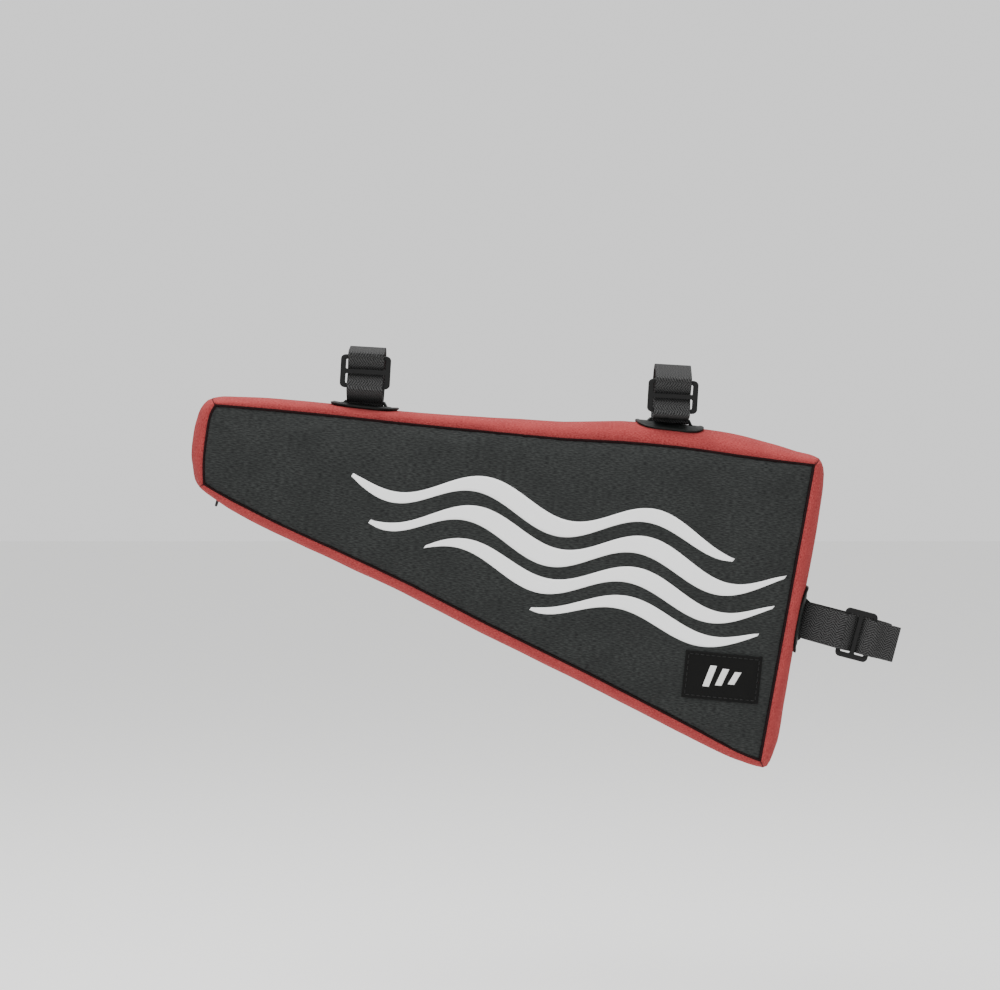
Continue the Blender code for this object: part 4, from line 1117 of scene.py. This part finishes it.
def make_label(tree):
    """Woven label: a raised selvedge, a line of stitches and three plain slanting bars."""
    centre = EDGES["rear"].end + Vector((-LABEL_FROM_REAR, LABEL_FROM_FOOT))
    forward = Vector((math.cos(TOP_SLOPE), -math.sin(TOP_SLOPE)))
    upward = turned_left(forward)

    def spot(x, z, off):
        return on_near(tree, centre + forward * x + upward * z, off)

    selvedge_high, selvedge_at, selvedge_width, label_off = 0.25 * MM, 0.7 * MM, 0.6 * MM, 0.7 * MM

    def place(u, v):
        x, z = (u - 0.5) * LABEL_WIDTH, (v - 0.5) * LABEL_HEIGHT
        to_border = min(LABEL_WIDTH / 2 - abs(x), LABEL_HEIGHT / 2 - abs(z))
        raised = selvedge_high * math.exp(-((to_border - selvedge_at) / selvedge_width) ** 2)
        return spot(x, z, label_off + raised)

    columns, rows = 76, 48
    form = cloth_grid(columns, rows, place, lambda u, v: (u * LABEL_WIDTH, v * LABEL_HEIGHT))
    label = piece("woven_label", form, LABEL_CLOTH, lambda _: Vector((0, -1, 0)))
    thicken(label, 0.6 * MM)
    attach(label, "root")
    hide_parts("side_label")

    tallest, lower_by, apart, bar_wide, slant = 12.0, 2.4, 7.0, 3.6 * MM, 3.4 * MM
    bars = bmesh.new()
    for k in range(3):
        grid = bmesh.ops.create_grid(bars, x_segments=6, y_segments=12, size=0.5)
        tall = (tallest - lower_by * k) * MM
        for vert in grid["verts"]:
            x = (-apart + apart * k) * MM + vert.co.x * bar_wide + vert.co.y * slant
            vert.co = spot(x, vert.co.y * tall, 0.82 * MM)
    lay_flat(bars)
    mark = piece("label_bars", bars, LABEL_THREAD, lambda _: Vector((0, -1, 0)))
    thicken(mark, INK_THICK)
    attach(mark, "root")

    stitches = bmesh.new()
    inset, length, pitch = 1.7 * MM, 2.0 * MM, 3.0 * MM
    size = Matrix.Diagonal((length, 0.3 * MM, 0.45 * MM, 1))
    wide, tall = LABEL_WIDTH / 2 - inset, LABEL_HEIGHT / 2 - inset
    for half, other, turned in ((wide, tall, False), (tall, wide, True)):
        count = int(2 * half / pitch)
        lean = Matrix.Rotation(TOP_SLOPE + (math.pi / 2 if turned else 0), 4, "Y")
        for sign in (-1, 1):
            for k in range(count):
                reach = (k + 0.5 - count / 2) * 2 * half / count
                x, z = (sign * other, reach) if turned else (reach, sign * other)
                middle = Matrix.Translation(spot(x, z, 0.78 * MM))
                bmesh.ops.create_cube(stitches, matrix=middle @ lean @ size)
    soften(stitches, 0.1 * MM)
    thread = piece("label_stitches", stitches, ZIP_NYLON)
    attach(thread, "root")


# Studio: lights by place, disk size and power, the pale surround, the floor and the camera
LIGHTS = (
    ("key", (-0.6, -1.25, 1.45), 1.0, 16.0),
    ("fill", (1.1, -1.6, 0.2), 1.2, 1.0),
    ("top", (-0.1, 0.0, 1.2), 0.9, 20.0),
)
SURROUND_STRENGTH, FLOOR_SIZE, FLOOR_DROP = 1.1, 6.0, 0.16
CAMERA_AIM, CAMERA_OFF = Vector((-0.01065, 0, -0.0620)), 2.0
CAMERA_RISE, SENSOR_WIDTH, FOCAL_LENGTH = math.radians(2.0), 36.0, 127.4


def look_along(obj, place, direction):
    """Put a light or the camera at a place, facing in a direction."""
    obj.location = place
    obj.rotation_mode = "QUATERNION"
    obj.rotation_quaternion = direction.to_track_quat("-Z", "Y")


def make_studio():
    """Pale floor below the held-up bag, an even pale surround, soft lights and the camera."""
    low, high = CAD_BOX
    floor_form = bmesh.new()
    bmesh.ops.create_grid(floor_form, x_segments=1, y_segments=1, size=FLOOR_SIZE)
    bmesh.ops.translate(floor_form, vec=(0, 0, low.z - FLOOR_DROP), verts=floor_form.verts)
    # Floor: even off-white, matt
    paper = new_finish("Pale studio paper", roughness=0.9, specular=0.2)
    paper.shader.inputs["Base Color"].default_value = linear("F4F4F3")
    floor = piece("studio_floor", floor_form, paper.material, lambda _: Vector((0, 0, 1)))

    world = bpy.data.worlds.new("studio")
    world.use_nodes = True
    surround = world.node_tree.nodes["Background"]
    surround.inputs["Color"].default_value = linear("FFFFFF")
    surround.inputs["Strength"].default_value = SURROUND_STRENGTH
    bpy.context.scene.world = world

    middle = (low + high) / 2
    for name, place, size, power in LIGHTS:
        light = bpy.data.lights.new(name, "AREA")
        light.shape = "DISK"
        light.size = size
        light.energy = power
        look_along(linked(name, light), place, middle - Vector(place))

    lens = bpy.data.cameras.new("camera")
    lens.sensor_fit = "HORIZONTAL"
    lens.sensor_width = SENSOR_WIDTH
    lens.lens = FOCAL_LENGTH
    camera = linked("camera", lens)
    back = Vector((0, -math.cos(CAMERA_RISE), math.sin(CAMERA_RISE)))
    look_along(camera, CAMERA_AIM + back * CAMERA_OFF, -back)
    bpy.context.scene.camera = camera


def repaint(node, finish):
    """Give a CAD node that stays its real finish."""
    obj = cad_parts[node]
    obj.data.materials.clear()
    obj.data.materials.append(finish)


def build_looks():
    """Every piece of the bag, then the studio round it."""
    near = make_cloth()
    tree = near_tree(near)
    make_print(tree)
    make_label(tree)
    for seat in strap_seats():
        make_patch(seat)
        strap = make_strap(seat)
        make_slide(seat)
        if seat.strap.name == "rear":
            make_hooks(seat, strap)
    make_zip()
    repaint("zip_slider", BLACK_ACETAL)
    repaint("zip_pull", PULL_RUBBER)
    make_studio()


build_looks()
